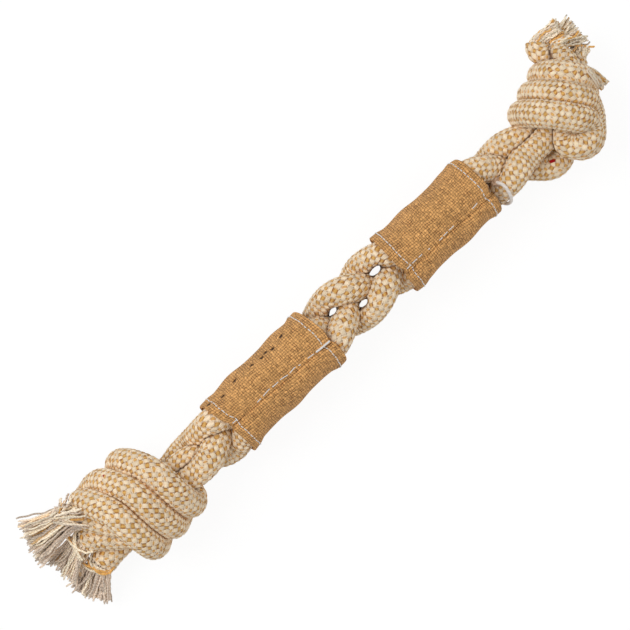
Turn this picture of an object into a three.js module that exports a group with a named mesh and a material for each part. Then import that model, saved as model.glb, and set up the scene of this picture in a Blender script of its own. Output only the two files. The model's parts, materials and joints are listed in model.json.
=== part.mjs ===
// Rope dog toy: three braided ropes plaited together, tied in a knot at both ends and
// frayed past the knots, with two jute sleeves sewn round the plait as grips.
// Millimetres, +Z up. X runs along the toy, from the left knot to the right knot, and the
// toy lies on the undersides of its knots, which are pressed flat.
import * as THREE from "three";

// Rope
const ROPE_DIAMETER = 15;
const ROPE_COUNT = 3;
const PRESS_GAP = 0.5; // left between two ropes that press on each other
const CUT_GAP = 0.3; // left between two stretches of one rope
const ROPE_SIDES = 9;
const PLAIT_STEP = 6.5; // between the rings of a rope in the plait
const KNOT_STEP = 5.5; // between the rings of a rope in a knot
const FINE_STEP = 1; // between the points of a rope's middle line

// Plait
const PLAIT_PITCH = 94; // a rope comes back to the same edge after this length
const PLAIT_SWING = 9.2; // of a rope's middle line to either side
const PLAIT_RISE = 8.6; // of a rope's middle line up and down
const PLAIT_PHASE = 268; // degrees, sets where the ropes cross
const PLAIT_POINTS = 16; // route points in one pitch

// Lengths along the toy
const MIDDLE_LENGTH = 50; // bare plait between the sleeves
const LEFT_SLEEVE_LENGTH = 72;
const RIGHT_SLEEVE_LENGTH = 67;
const LEFT_NECK_LENGTH = 34.6; // bare plait between a sleeve and the band of a knot
const RIGHT_NECK_LENGTH = 41.5;
const NECK_FLEX_LENGTH = 17; // of that, the part next to the sleeve that bends
const NECK_PLAIT_LENGTH = 20; // past a sleeve, the ropes keep the plait's shape
const NECK_LEAD_LENGTH = 15; // over which a neck is led aside

// Knots: each rope runs in through the core, turns back, wraps once round the core in its
// own place in the band, turns again and runs out through the core to its frayed tail.
const CORE_RADIUS = 9.6; // six passes of rope lie on this circle
const WRAP_RADIUS = 21.8; // middle line of the wraps
const MOUTH_RADIUS = 6.5; // the ropes go in on this circle
const MOUTH_SHARE = 0.4; // of a pass, over which it widens from the mouth to the core
const LEAST_WIDTH = 0.45; // share of its width to which a knot may be drawn in
const FLAT_DEPTH = ROPE_DIAMETER / 10; // pressed off the underside of a knot

// How each knot lies, in degrees and millimetres. Its wraps stand a pitch apart, run square to the
// knot over the span, narrow towards the tail by the taper, are drawn in sideways to a share of
// their width that falls by narrow from the middle to the tail, and lean towards the tail on one
// side. Past the outer wraps all is crowded in to a share of its length. The mouth lies aside of the
// axis, and the turns bulge at both ends. The rope in the first place may swing out of the plait over
// the points of a detour. A tail is given by its cut end and the end of its fraying: out past the
// band, aside and up, for the rope in each place.
const KNOTS = {
  left: {
    heading: 182, roll: 8, hand: -1, taper: -1, offset: 3, tailHeading: 173, frayRadius: 11.5,
    pitch: 14.6, span: 132, width: 1, narrow: 0, lean: 10, crowd: 0.5,
    mouthAside: -6, neckAside: 0, bulge: [0, 1, 1], tailBulge: 8, detour: [],
    tails: [
      { rope: [18, -18, 8], fray: [44, -21, 3] },
      { rope: [20, -4, -1], fray: [41, 0, -12] },
      { rope: [21, 16, -8], fray: [38, 20, -17] },
    ],
  },
  right: {
    heading: 38, roll: -40, hand: 1, taper: 3, offset: 3, tailHeading: 38, frayRadius: 8.5,
    pitch: 11, span: 168, width: 0.68, narrow: 0.2, lean: 0, crowd: 1,
    mouthAside: 0, neckAside: -3, bulge: [8, 8, 6], tailBulge: 5.5,
    detour: [[116, -13, -6], [124.5, -20, -4], [135, -17, -6]],
    tails: [
      { rope: [6.5, 17, 4], fray: [16, 11, 3] },
      { rope: [9, 8, 3], fray: [22, -3, -5] },
      { rope: [9, -6, -4], fray: [7, -24, -9] },
    ],
  },
};

// Jute sleeves
const CLOTH_THICKNESS = 1.2;
const CLOTH_GAP = 0.5; // between the cloth and the ropes, and between the layers of the lap
const LAP_WIDTH = 9; // one long edge of the cloth lies over the other
const LAP_STEP = 3; // past the lap's edge, where a row of stitches is down on the lower layer
const LAP_RAMP = 50; // degrees over which the cloth climbs onto the lap
const HEM_LENGTH = 7; // turned under at each end
const HEM_RAMP = 2;
const SLEEVE_STATIONS = 9;
const SLEEVE_COLUMNS = 27;
const SLEEVE_EASE = 14; // how far along X the stretched cloth smooths over the ropes
const SLEEVE_CLOSE = 2; // stations to either side over whose ropes the cloth must pass
const LEFT_SEAM = 90; // degrees round the plait from +Y, so 90 is on top
const RIGHT_SEAM = 104;

// Sewing thread
const THREAD_DIAMETER = 0.8;
const THREAD_GAP = 0.3;
const THREAD_SIDES = 5;
const HEM_STITCH = 5; // from the sleeve's end to the row of stitches

// Tie cord, cinched round one rope beside the right sleeve
const TIE_DIAMETER = 2.2;
const TIE_GAP = 0.4;
const TIE_OFFSET = 3.6; // from the sleeve's end
const TIE_START = 86; // degrees round the rope from +Y
const TIE_END = 262;
const TIE_KNOT_DIAMETER = 4;
const TIE_KNOT_LENGTH = 4.5;
const TIE_SIDES = 8;
const TIE_POINTS = 22;

// Colours
const ROPE_COLOUR = 0xd9b98a;
const CORE_YARN_COLOUR = 0xb9a796;
const JUTE_COLOUR = 0xa5763f;
const THREAD_COLOUR = 0xefe9df;

const TAU = 2 * Math.PI;
const rad = THREE.MathUtils.degToRad;
const ROPE_RADIUS = ROPE_DIAMETER / 2;
const bandHalf = (side) => (ROPE_COUNT * KNOTS[side].pitch) / 2;
const SELF_PRESS = ROPE_DIAMETER / 4; // nearer than this along a rope, it can't press on itself
const SELF_CLEAR = 1.6 * ROPE_DIAMETER; // further than this along a rope, it lies beside itself
const BEND_SHARE = 0.9; // of the way to the centre of a bend that the inside of a rope may reach
const LANE_HALF = KNOTS.left.pitch / WRAP_RADIUS / 2; // angle from a knot's underside to its ropes
const FLOOR = FLAT_DEPTH - WRAP_RADIUS * Math.cos(LANE_HALF) - ROPE_RADIUS; // the knots' undersides

const leftSleeve = { start: -MIDDLE_LENGTH / 2 - LEFT_SLEEVE_LENGTH, end: -MIDDLE_LENGTH / 2 };
const rightSleeve = { start: MIDDLE_LENGTH / 2, end: MIDDLE_LENGTH / 2 + RIGHT_SLEEVE_LENGTH };
const leftKnotX = leftSleeve.start - LEFT_NECK_LENGTH - bandHalf("left");
const rightKnotX = rightSleeve.end + RIGHT_NECK_LENGTH + bandHalf("right");

// Middle line of one rope in the plait: it swings from edge to edge, over the next rope on its
// way in from an edge and under the other on its way out.
function plaitPoint(rope, x) {
  const phase = TAU * (x / PLAIT_PITCH + rope / ROPE_COUNT) + rad(PLAIT_PHASE);
  return new THREE.Vector3(x, PLAIT_SWING * Math.sin(phase), -PLAIT_RISE * Math.sin(2 * phase));
}

// The plait, led aside in the necks towards the mouths of the knots.
function neckPoint(rope, x) {
  const { smoothstep } = THREE.MathUtils;
  const point = plaitPoint(rope, x);
  point.y += KNOTS.left.neckAside * smoothstep(leftSleeve.start - x, 0, NECK_LEAD_LENGTH);
  point.y += KNOTS.right.neckAside * smoothstep(x - rightSleeve.end, 0, NECK_LEAD_LENGTH);
  return point;
}

// A point in a knot's own frame: along its axis, and out from it at an angle.
function onKnot(axial, radius, angle) {
  return new THREE.Vector3(axial, radius * Math.cos(angle), radius * Math.sin(angle));
}

function ramp(count, from, to) {
  return Array.from({ length: count }, (_, i) => from + ((to - from) * i) / (count - 1));
}

// Angles round a knot's axis, for the wrap in place 0 (next to the plait), 1 or 2 (next to the tail).
function knotAngles(side, place) {
  const { pitch, span } = KNOTS[side];
  const half = bandHalf(side);
  const slot = (place - 1) * pitch;
  const wrapStart = rad(90 - span / 2);
  const wrapEnd = rad(90 + span / 2);
  const laneOut = half - slot;
  const laneIn = half + slot;
  const middleOut = wrapStart - half / WRAP_RADIUS;
  const middleIn = wrapEnd + half / WRAP_RADIUS;
  const twist = middleIn - middleOut - Math.PI;
  const step = (place - 1) * rad(60);
  return {
    slot, wrapStart, wrapEnd, laneOut, laneIn, twist,
    turnOut: wrapStart - laneOut / WRAP_RADIUS,
    turnIn: wrapEnd + laneIn / WRAP_RADIUS,
    firstPass: middleOut + step,
    secondPass: middleOut + Math.PI + step,
  };
}

// Route of one rope through a knot, in the knot's own frame, from the plait to the tail.
function knotRoute(side, place) {
  const { taper, bulge, tailBulge } = KNOTS[side];
  const half = bandHalf(side);
  const at = knotAngles(side, place);
  const route = [];
  const wrapped = (axial, angle) => onKnot(axial, WRAP_RADIUS - (taper * axial) / half, angle);
  const pass = (angle, entry) => {
    for (const share of ramp(6, 0, 1)) {
      const inward = THREE.MathUtils.clamp(1 - share / MOUTH_SHARE, 0, 1);
      const radius = CORE_RADIUS + (entry - CORE_RADIUS) * inward;
      route.push(onKnot(half * (2 * share - 1), radius, angle + at.twist * (1 - share)));
    }
  };
  const turn = (from, to, stand) => {
    for (const bend of ramp(7, 0, Math.PI).slice(1, -1)) {
      const point = from.clone().lerp(to, (1 - Math.cos(bend)) / 2);
      point.x += stand * Math.sin(bend);
      route.push(point);
    }
  };
  pass(at.firstPass, MOUTH_RADIUS);
  turn(onKnot(half, CORE_RADIUS, at.firstPass), wrapped(half, at.turnOut), tailBulge);
  for (const bend of ramp(6, 0, Math.PI / 2)) {
    const angle = at.wrapStart - (at.laneOut / WRAP_RADIUS) * Math.cos(bend);
    route.push(wrapped(half - at.laneOut * Math.sin(bend), angle));
  }
  for (const angle of ramp(9, at.wrapStart, at.wrapEnd).slice(1, -1)) {
    route.push(wrapped(at.slot, angle));
  }
  for (const bend of ramp(6, 0, Math.PI / 2)) {
    const angle = at.wrapEnd + (at.laneIn / WRAP_RADIUS) * Math.sin(bend);
    route.push(wrapped(at.laneIn * Math.cos(bend) - half, angle));
  }
  turn(
    wrapped(-half, at.turnIn),
    onKnot(-half, CORE_RADIUS, at.secondPass + at.twist),
    -bulge[place],
  );
  pass(at.secondPass, CORE_RADIUS);
  return route;
}

// Puts a knot's own points where the knot lies on the toy.
function placeKnot(side, point) {
  const { clamp } = THREE.MathUtils;
  const knot = KNOTS[side];
  const placed = point.clone();
  placed.applyAxisAngle(new THREE.Vector3(1, 0, 0), rad(knot.roll));
  placed.x -= (1 - knot.crowd) * (placed.x - clamp(placed.x, -knot.pitch, knot.pitch));
  const axial = placed.x / bandHalf(side);
  const most = knot.width + knot.narrow / 2;
  placed.y *= knot.hand * clamp(knot.width - knot.narrow * axial, LEAST_WIDTH, most);
  placed.z -= knot.taper * axial;
  placed.x += knot.lean * (Math.max(-placed.y, 0) / WRAP_RADIUS) ** 2;
  placed.applyAxisAngle(new THREE.Vector3(0, 0, 1), rad(knot.heading));
  placed.x += side === "left" ? leftKnotX : rightKnotX;
  placed.y += knot.offset;
  return placed;
}

// The placed route of one rope through a knot, with its mouth aside or a detour before it.
function knotEntry(side, place) {
  const knot = KNOTS[side];
  const route = knotRoute(side, place).map((point) => placeKnot(side, point));
  if (place === 0 && knot.detour.length > 0) {
    const detour = knot.detour.map((spot) => new THREE.Vector3(...spot));
    return [...detour, ...route.slice(2)];
  }
  ramp(4, 1, 0).forEach((share, i) => {
    route[i].y += knot.mouthAside * share;
  });
  return route;
}

// Cut end of the rope in one place and the end of its fraying, in the toy's frame.
function tailRoute(side, place) {
  const knot = KNOTS[side];
  const heading = rad(knot.tailHeading);
  const along = new THREE.Vector3(Math.cos(heading), Math.sin(heading), 0);
  const across = new THREE.Vector3(-along.y, along.x, 0);
  const start = placeKnot(side, onKnot(bandHalf(side), 0, 0));
  const spot = ([out, aside, up]) => start.clone()
    .addScaledVector(along, out)
    .addScaledVector(across, aside)
    .setZ(up);
  const tail = knot.tails[place];
  return { rope: spot(tail.rope), fray: spot(tail.fray) };
}

// The ropes go into the knot in the order that moves them least from their places in the plait.
function knotOrder(side, x) {
  const orders = [[0, 1, 2], [0, 2, 1], [1, 0, 2], [1, 2, 0], [2, 0, 1], [2, 1, 0]];
  const cost = (order) => order.reduce((sum, place, rope) => {
    const offset = knotEntry(side, place)[0].sub(neckPoint(rope, x));
    return sum + offset.y ** 2 + offset.z ** 2;
  }, 0);
  return orders.reduce((best, order) => (cost(order) < cost(best) ? order : best));
}

// Whole middle line of each rope as evenly spaced points, from the left fraying to the right.
function layRope(rope, leftPlace, rightPlace) {
  const end = (side, place) => {
    const tail = tailRoute(side, place);
    return [...knotEntry(side, place), tail.rope, tail.fray];
  };
  const plaitStart = leftSleeve.start - NECK_PLAIT_LENGTH;
  const plaitEnd = rightSleeve.end + NECK_PLAIT_LENGTH;
  const count = Math.ceil(((plaitEnd - plaitStart) / PLAIT_PITCH) * PLAIT_POINTS);
  const route = [
    ...end("left", leftPlace).reverse(),
    ...ramp(count, plaitStart, plaitEnd).map((x) => neckPoint(rope, x)),
    ...end("right", rightPlace),
  ];
  const curve = new THREE.CatmullRomCurve3(route, false, "centripetal");
  curve.arcLengthDivisions = 3000;
  const points = curve.getSpacedPoints(Math.round(curve.getLength() / FINE_STEP));
  return followRope(rope, points);
}

// Direction, bend and a frame that doesn't twist, at every point of a middle line.
function followRope(rope, points) {
  const last = points.length - 1;
  const tangents = points.map((_, i) => points[Math.min(i + 1, last)].clone()
    .sub(points[Math.max(i - 1, 0)]).normalize());
  const bends = points.map((_, i) => {
    const before = Math.max(i - 2, 0);
    const after = Math.min(i + 2, last);
    const length = points[after].distanceTo(points[before]);
    return tangents[after].clone().sub(tangents[before]).divideScalar(length);
  });
  const step = points[1].distanceTo(points[0]);
  const normals = [];
  let normal = new THREE.Vector3(0, 0, 1);
  for (const tangent of tangents) {
    normal = normal.clone().addScaledVector(tangent, -normal.dot(tangent)).normalize();
    normals.push(normal);
  }
  return { rope, points, tangents, bends, normals, step };
}

// The index of the first point past x, going from the middle of the toy towards one end.
function indexAtX(line, x) {
  const middle = line.points.findIndex((point) => point.x > 0);
  if (x > 0) {
    return line.points.findIndex((point, i) => i >= middle && point.x >= x);
  }
  let i = middle;
  while (line.points[i].x > x) {
    i -= 1;
  }
  return i;
}

// How far a soft rope swells in one direction: to its full radius, to half-way to the next rope
// that it presses on, and never past the centre of its own bend.
function swell(lines, line, index, direction, radius) {
  const centre = line.points[index];
  const reach = 2 * radius;
  let limit = radius;
  for (const other of lines) {
    for (let i = 0; i < other.points.length; i += 1) {
      const point = other.points[i];
      const away = point.distanceTo(centre);
      const same = other === line && Math.abs(i - index) * line.step < SELF_PRESS;
      if (same || away > reach) {
        continue;
      }
      const facing = (point.x - centre.x) * direction.x
        + (point.y - centre.y) * direction.y
        + (point.z - centre.z) * direction.z;
      if (facing > 0) {
        limit = Math.min(limit, (away * away) / (2 * facing) - PRESS_GAP / 2);
      }
    }
  }
  const bend = direction.dot(line.bends[index]);
  return bend > 0 ? Math.min(limit, BEND_SHARE / bend) : limit;
}

// A closed tube through rings of points, capped at both ends, or joined end to end.
function skin(rings, joined) {
  const sides = rings[0].length;
  const positions = rings.flat().flatMap((point) => [point.x, point.y, point.z]);
  const faces = [];
  const spans = joined ? rings.length : rings.length - 1;
  for (let i = 0; i < spans; i += 1) {
    const near = i * sides;
    const far = ((i + 1) % rings.length) * sides;
    for (let j = 0; j < sides; j += 1) {
      const next = (j + 1) % sides;
      faces.push(near + j, near + next, far + j, near + next, far + next, far + j);
    }
  }
  if (!joined) {
    const end = (rings.length - 1) * sides;
    for (let j = 1; j < sides - 1; j += 1) {
      faces.push(0, j + 1, j);
      faces.push(end, end + j, end + j + 1);
    }
  }
  const geometry = new THREE.BufferGeometry();
  geometry.setAttribute("position", new THREE.Float32BufferAttribute(positions, 3));
  geometry.setIndex(faces);
  geometry.computeVertexNormals();
  return geometry;
}

// One stretch of a rope between two distances along its middle line.
function ropeStretch(lines, line, from, to, step, radiusAt) {
  const first = Math.round(from / line.step);
  const last = Math.round(to / line.step);
  const count = Math.max(3, Math.round((to - from) / step) + 1);
  const half = Math.round((last - first) / (count - 1) / 2);
  const rings = ramp(count, first, last).map((exact) => {
    const index = Math.round(exact);
    const tangent = line.tangents[index];
    const normal = line.normals[index];
    const side = new THREE.Vector3().crossVectors(tangent, normal);
    const nudge = exact === first ? CUT_GAP / 2 : exact === last ? -CUT_GAP / 2 : 0;
    return ramp(ROPE_SIDES + 1, 0, TAU).slice(0, -1).map((angle) => {
      const direction = normal.clone().multiplyScalar(Math.cos(angle))
        .addScaledVector(side, Math.sin(angle));
      const reach = Math.min(...[-half, 0, half].map((aside) => {
        const near = THREE.MathUtils.clamp(index + aside, 0, line.points.length - 1);
        return swell(lines, line, near, direction, radiusAt(index));
      }));
      const point = line.points[index].clone().addScaledVector(direction, reach);
      point.addScaledVector(tangent, nudge);
      point.z = Math.max(point.z, FLOOR);
      return point;
    });
  });
  return skin(rings, false);
}

// A plain round cord of one thickness along points, with an optional thickness at each point.
function cord(points, sides, joined, radiusAt) {
  const count = points.length;
  const lengthwise = Math.abs(points[1].x - points[0].x) > points[1].distanceTo(points[0]) / 2;
  let normal = lengthwise ? new THREE.Vector3(0, 1, 0) : new THREE.Vector3(1, 0, 0);
  const rings = points.map((point, i) => {
    const before = joined ? points[(i + count - 1) % count] : points[Math.max(i - 1, 0)];
    const after = joined ? points[(i + 1) % count] : points[Math.min(i + 1, count - 1)];
    const tangent = after.clone().sub(before).normalize();
    normal = normal.clone().addScaledVector(tangent, -normal.dot(tangent)).normalize();
    const side = new THREE.Vector3().crossVectors(tangent, normal);
    return ramp(sides + 1, 0, TAU).slice(0, -1).map((angle) => point.clone()
      .addScaledVector(normal, radiusAt(i) * Math.cos(angle))
      .addScaledVector(side, radiusAt(i) * Math.sin(angle)));
  });
  return skin(rings, joined);
}

// How far out the ropes reach from the plait's axis at one X, in each direction round it.
function ropeSupport(lines, x) {
  const facings = ramp(73, 0, TAU).slice(0, -1);
  return facings.map((facing) => {
    let furthest = -Infinity;
    for (const line of lines) {
      for (const point of line.points) {
        const ahead = Math.abs(point.x - x);
        if (ahead < ROPE_RADIUS) {
          const out = point.y * Math.cos(facing) + point.z * Math.sin(facing);
          furthest = Math.max(furthest, out + Math.sqrt(ROPE_RADIUS ** 2 - ahead ** 2));
        }
      }
    }
    return furthest;
  });
}

// A band pulled round the ropes touches the furthest of them and runs straight between.
function clothInside(support, angle) {
  let inside = Infinity;
  support.forEach((distance, i) => {
    const open = Math.cos(angle - (TAU * i) / support.length);
    if (open > 0.2) {
      inside = Math.min(inside, distance / open);
    }
  });
  return inside + CLOTH_GAP;
}

// Shape of one sleeve, as distances from the plait's axis.
function clothShape(lines, sleeve, seam) {
  const spacing = 2;
  const margin = SLEEVE_EASE + 2 * spacing;
  const count = Math.ceil((sleeve.end - sleeve.start + 2 * margin) / spacing) + 1;
  const tight = ramp(count, sleeve.start - margin, sleeve.end + margin)
    .map((x) => ropeSupport(lines, x));
  const near = Math.round(SLEEVE_EASE / spacing);
  const beside = (i, span) => tight.slice(Math.max(i - span, 0), i + span + 1);
  const eased = tight.map((support, i) => support.map((_, facing) => {
    const wide = beside(i, near).map((row) => row[facing]);
    const close = beside(i, SLEEVE_CLOSE).map((row) => row[facing]);
    const mean = wide.reduce((sum, value) => sum + value, 0) / wide.length;
    return Math.max(mean, ...close);
  }));
  const row = (x) => Math.round((x - sleeve.start + margin) / spacing);
  const hem = (x) => {
    const inset = Math.min(x - sleeve.start, sleeve.end - x);
    return THREE.MathUtils.clamp((HEM_LENGTH - inset) / HEM_RAMP, 0, 1);
  };
  const thickness = (x) => CLOTH_THICKNESS * (1 + hem(x));
  const lapAngle = LAP_WIDTH / (PLAIT_SWING + ROPE_RADIUS);
  const first = rad(seam) - lapAngle / 2;
  const climb = rad(LAP_RAMP);
  const lift = (x, turned) => {
    const share = THREE.MathUtils.smoothstep(turned, TAU - climb, TAU);
    return (thickness(x) + CLOTH_GAP) * share;
  };
  const inside = (x, turned) => clothInside(eased[row(x)], first + turned) + lift(x, turned);
  const outside = (x, angle) => {
    const turned = ((angle - first) % TAU + TAU) % TAU;
    const over = turned < lapAngle ? turned + TAU : turned;
    return inside(x, over) + thickness(x);
  };
  return { sleeve, first, sweep: TAU + lapAngle, inside, outside, thickness };
}

function around(x, radius, angle) {
  return new THREE.Vector3(x, radius * Math.cos(angle), radius * Math.sin(angle));
}

// A closed sheet between two grids of points, one on each of its faces.
function sheet(under, over) {
  const rows = over.length;
  const columns = over[0].length;
  const positions = [...over.flat(), ...under.flat()]
    .flatMap((point) => [point.x, point.y, point.z]);
  const top = (i, j) => i * columns + j;
  const bottom = (i, j) => (rows + i) * columns + j;
  const faces = [];
  const quad = (a, b, c, d) => faces.push(a, b, c, a, c, d);
  const endRow = rows - 1;
  const endColumn = columns - 1;
  for (let i = 0; i < endRow; i += 1) {
    for (let j = 0; j < endColumn; j += 1) {
      quad(top(i, j), top(i, j + 1), top(i + 1, j + 1), top(i + 1, j));
      quad(bottom(i, j), bottom(i + 1, j), bottom(i + 1, j + 1), bottom(i, j + 1));
    }
    quad(top(i, 0), top(i + 1, 0), bottom(i + 1, 0), bottom(i, 0));
    quad(top(i + 1, endColumn), top(i, endColumn), bottom(i, endColumn), bottom(i + 1, endColumn));
  }
  for (let j = 0; j < endColumn; j += 1) {
    quad(top(0, j + 1), top(0, j), bottom(0, j), bottom(0, j + 1));
    quad(top(endRow, j), top(endRow, j + 1), bottom(endRow, j + 1), bottom(endRow, j));
  }
  const geometry = new THREE.BufferGeometry();
  geometry.setAttribute("position", new THREE.Float32BufferAttribute(positions, 3));
  geometry.setIndex(faces);
  geometry.computeVertexNormals();
  return geometry;
}

function sleeveSheet(shape) {
  const { start, end } = shape.sleeve;
  const stations = [
    start,
    start + HEM_LENGTH - HEM_RAMP,
    ...ramp(SLEEVE_STATIONS, start + HEM_LENGTH, end - HEM_LENGTH),
    end - HEM_LENGTH + HEM_RAMP,
    end,
  ];
  const turns = ramp(SLEEVE_COLUMNS + 1, 0, shape.sweep);
  const face = (extra) => stations.map((x) => turns.map((turned) => {
    const radius = shape.inside(x, turned) + extra * shape.thickness(x);
    return around(x, radius, shape.first + turned);
  }));
  return sheet(face(0), face(1));
}

// A row of stitches round a hem, laid on the outside of the cloth and down over the lap's edge.
function hemThread(shape, x) {
  const radius = THREAD_DIAMETER / 2;
  const columns = ramp(SLEEVE_COLUMNS + 1, 0, shape.sweep);
  const pastEdge = shape.sweep - TAU + LAP_STEP / (PLAIT_SWING + ROPE_RADIUS);
  const turns = [pastEdge, ...columns.filter((turned) => turned > pastEdge)];
  const points = turns.map((turned) => {
    const rest = shape.inside(x, turned) + shape.thickness(x);
    return around(x, rest + THREAD_GAP + radius, shape.first + turned);
  });
  return cord(points, THREAD_SIDES, true, () => radius);
}

// The row of stitches along the middle of the lap, between the two hems' rows.
function seamThread(shape, seam) {
  const radius = THREAD_DIAMETER / 2;
  const inset = HEM_STITCH + 2 * THREAD_DIAMETER;
  const stations = ramp(15, shape.sleeve.start + inset, shape.sleeve.end - inset);
  const rest = stations.map((x) => shape.outside(x, rad(seam)));
  const points = stations.map((x, i) => {
    const beside = rest.slice(Math.max(i - 1, 0), i + 2);
    return around(x, Math.max(...beside) + THREAD_GAP + radius, rad(seam));
  });
  return cord(points, THREAD_SIDES, false, () => radius);
}

// The tie goes round the rope at the plait's near edge, from one crease between ropes to the other.
function tieCord(lines) {
  const x = rightSleeve.end + TIE_OFFSET;
  const middleAt = (line) => line.points[indexAtX(line, x)];
  const line = lines.reduce((low, other) => (middleAt(other).y < middleAt(low).y ? other : low));
  const centre = middleAt(line);
  const support = ropeSupport([line], x);
  const angles = ramp(TIE_POINTS, rad(TIE_START), rad(TIE_END));
  const thickAt = (i) => {
    const along = (angles[i] - angles[0]) * (ROPE_RADIUS + TIE_DIAMETER);
    const share = (2 * along) / TIE_KNOT_LENGTH - 1;
    const lump = share < 1 ? Math.sqrt(1 - share * share * 0.8) : 0;
    return Math.max(TIE_DIAMETER, TIE_KNOT_DIAMETER * lump) / 2;
  };
  const points = angles.map((angle, i) => {
    const facing = Math.round((angle / TAU) * support.length) % support.length;
    const middle = centre.y * Math.cos(angle) + centre.z * Math.sin(angle);
    const offset = around(0, support[facing] - middle + TIE_GAP + thickAt(i), angle);
    return offset.add(centre).setX(x);
  });
  return cord(points, TIE_SIDES, false, thickAt);
}

// Distances along a rope at which its stretches are cut, and the thickness of its fraying.
function ropeCuts(line, leftPlace, rightPlace) {
  const nearest = (spot) => line.points.reduce(
    (best, point, i) => (point.distanceTo(spot) < line.points[best].distanceTo(spot) ? i : best),
    0,
  );
  return {
    start: 0,
    leftFray: nearest(tailRoute("left", leftPlace).rope),
    leftKnot: indexAtX(line, leftSleeve.start - NECK_FLEX_LENGTH),
    leftNeck: indexAtX(line, leftSleeve.start),
    leftGrip: indexAtX(line, leftSleeve.end),
    middle: indexAtX(line, rightSleeve.start),
    rightGrip: indexAtX(line, rightSleeve.end),
    rightNeck: indexAtX(line, rightSleeve.end + NECK_FLEX_LENGTH),
    rightKnot: nearest(tailRoute("right", rightPlace).rope),
    rightFray: line.points.length - 1,
  };
}

function frayedRadius(cuts) {
  const flare = (share, radius) => {
    const open = THREE.MathUtils.smoothstep(share, 0, 1);
    return ROPE_RADIUS * 0.95 + (radius - ROPE_RADIUS * 0.95) * open;
  };
  return (index) => {
    if (index < cuts.leftFray) {
      return flare(1 - index / cuts.leftFray, KNOTS.left.frayRadius);
    }
    if (index > cuts.rightKnot) {
      const share = (index - cuts.rightKnot) / (cuts.rightFray - cuts.rightKnot);
      return flare(share, KNOTS.right.frayRadius);
    }
    return ROPE_RADIUS;
  };
}

// The least clearance between ropes that press on each other, taken between middle lines.
function leastClearance(lines) {
  let least = Infinity;
  const direction = new THREE.Vector3();
  for (const line of lines) {
    for (let i = 0; i < line.points.length; i += 4) {
      for (const other of lines) {
        for (let j = 0; j < other.points.length; j += 4) {
          const same = other === line && Math.abs(i - j) * line.step < SELF_CLEAR;
          const away = line.points[i].distanceTo(other.points[j]);
          if (!same && away < ROPE_DIAMETER) {
            direction.copy(other.points[j]).sub(line.points[i]).divideScalar(away);
            const here = swell(lines, line, i, direction, ROPE_RADIUS);
            const there = swell(lines, other, j, direction.clone().negate(), ROPE_RADIUS);
            least = Math.min(least, away - here - there);
          }
        }
      }
    }
  }
  return least;
}

const toy = new THREE.Group();

function add(name, geometry, colour) {
  const material = new THREE.MeshStandardMaterial({ color: colour, roughness: 0.9 });
  const mesh = new THREE.Mesh(geometry, material);
  mesh.name = name;
  toy.add(mesh);
}

const leftOrder = knotOrder("left", leftSleeve.start - NECK_PLAIT_LENGTH);
const rightOrder = knotOrder("right", rightSleeve.end + NECK_PLAIT_LENGTH);
const lines = leftOrder.map((place, rope) => layRope(rope, place, rightOrder[rope]));

lines.forEach((line, rope) => {
  const cuts = ropeCuts(line, leftOrder[rope], rightOrder[rope]);
  const radiusAt = frayedRadius(cuts);
  const stretch = (name, from, to, step, colour) => {
    const geometry = ropeStretch(lines, line, from * line.step, to * line.step, step, radiusAt);
    add(name, geometry, colour);
  };
  const label = `rope_${rope + 1}`;
  stretch(`${label}_left_fray`, cuts.start, cuts.leftFray, KNOT_STEP, CORE_YARN_COLOUR);
  stretch(`${label}_left_knot`, cuts.leftFray, cuts.leftKnot, KNOT_STEP, ROPE_COLOUR);
  stretch(`${label}_left_neck`, cuts.leftKnot, cuts.leftNeck, PLAIT_STEP, ROPE_COLOUR);
  stretch(`${label}_left_grip`, cuts.leftNeck, cuts.leftGrip, PLAIT_STEP, ROPE_COLOUR);
  stretch(`${label}_middle`, cuts.leftGrip, cuts.middle, PLAIT_STEP, ROPE_COLOUR);
  stretch(`${label}_right_grip`, cuts.middle, cuts.rightGrip, PLAIT_STEP, ROPE_COLOUR);
  stretch(`${label}_right_neck`, cuts.rightGrip, cuts.rightNeck, PLAIT_STEP, ROPE_COLOUR);
  stretch(`${label}_right_knot`, cuts.rightNeck, cuts.rightKnot, KNOT_STEP, ROPE_COLOUR);
  stretch(`${label}_right_fray`, cuts.rightKnot, cuts.rightFray, KNOT_STEP, CORE_YARN_COLOUR);
  console.log(`${label} length ${(line.step * (line.points.length - 1)).toFixed(1)} mm`);
});

for (const [side, sleeve, seam] of [
  ["left", leftSleeve, LEFT_SEAM],
  ["right", rightSleeve, RIGHT_SEAM],
]) {
  const shape = clothShape(lines, sleeve, seam);
  const outer = side === "left" ? sleeve.start + HEM_STITCH : sleeve.end - HEM_STITCH;
  const inner = side === "left" ? sleeve.end - HEM_STITCH : sleeve.start + HEM_STITCH;
  add(`${side}_sleeve`, sleeveSheet(shape), JUTE_COLOUR);
  add(`${side}_sleeve_outer_hem_thread`, hemThread(shape, outer), THREAD_COLOUR);
  add(`${side}_sleeve_inner_hem_thread`, hemThread(shape, inner), THREAD_COLOUR);
  add(`${side}_sleeve_seam_thread`, seamThread(shape, seam), THREAD_COLOUR);
}
add("tie_cord", tieCord(lines), THREAD_COLOUR);
console.log(`least clearance between ropes ${leastClearance(lines).toFixed(2)} mm`);

// The toy's frame: middle of its box in X and Y, underside of the knots at Z = 0.
const box = new THREE.Box3().setFromObject(toy);
const middle = box.getCenter(new THREE.Vector3());
toy.position.set(-middle.x, -middle.y, -box.min.z);
const spot = (x) => [x - middle.x, -middle.y, -box.min.z].map((value) => value.toFixed(2)).join(" ");
console.log(`left neck bends about ${spot(leftSleeve.start - NECK_FLEX_LENGTH / 2)}`);
console.log(`middle bends about ${spot(0)}`);
console.log(`right neck bends about ${spot(rightSleeve.end + NECK_FLEX_LENGTH / 2)}`);

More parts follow.
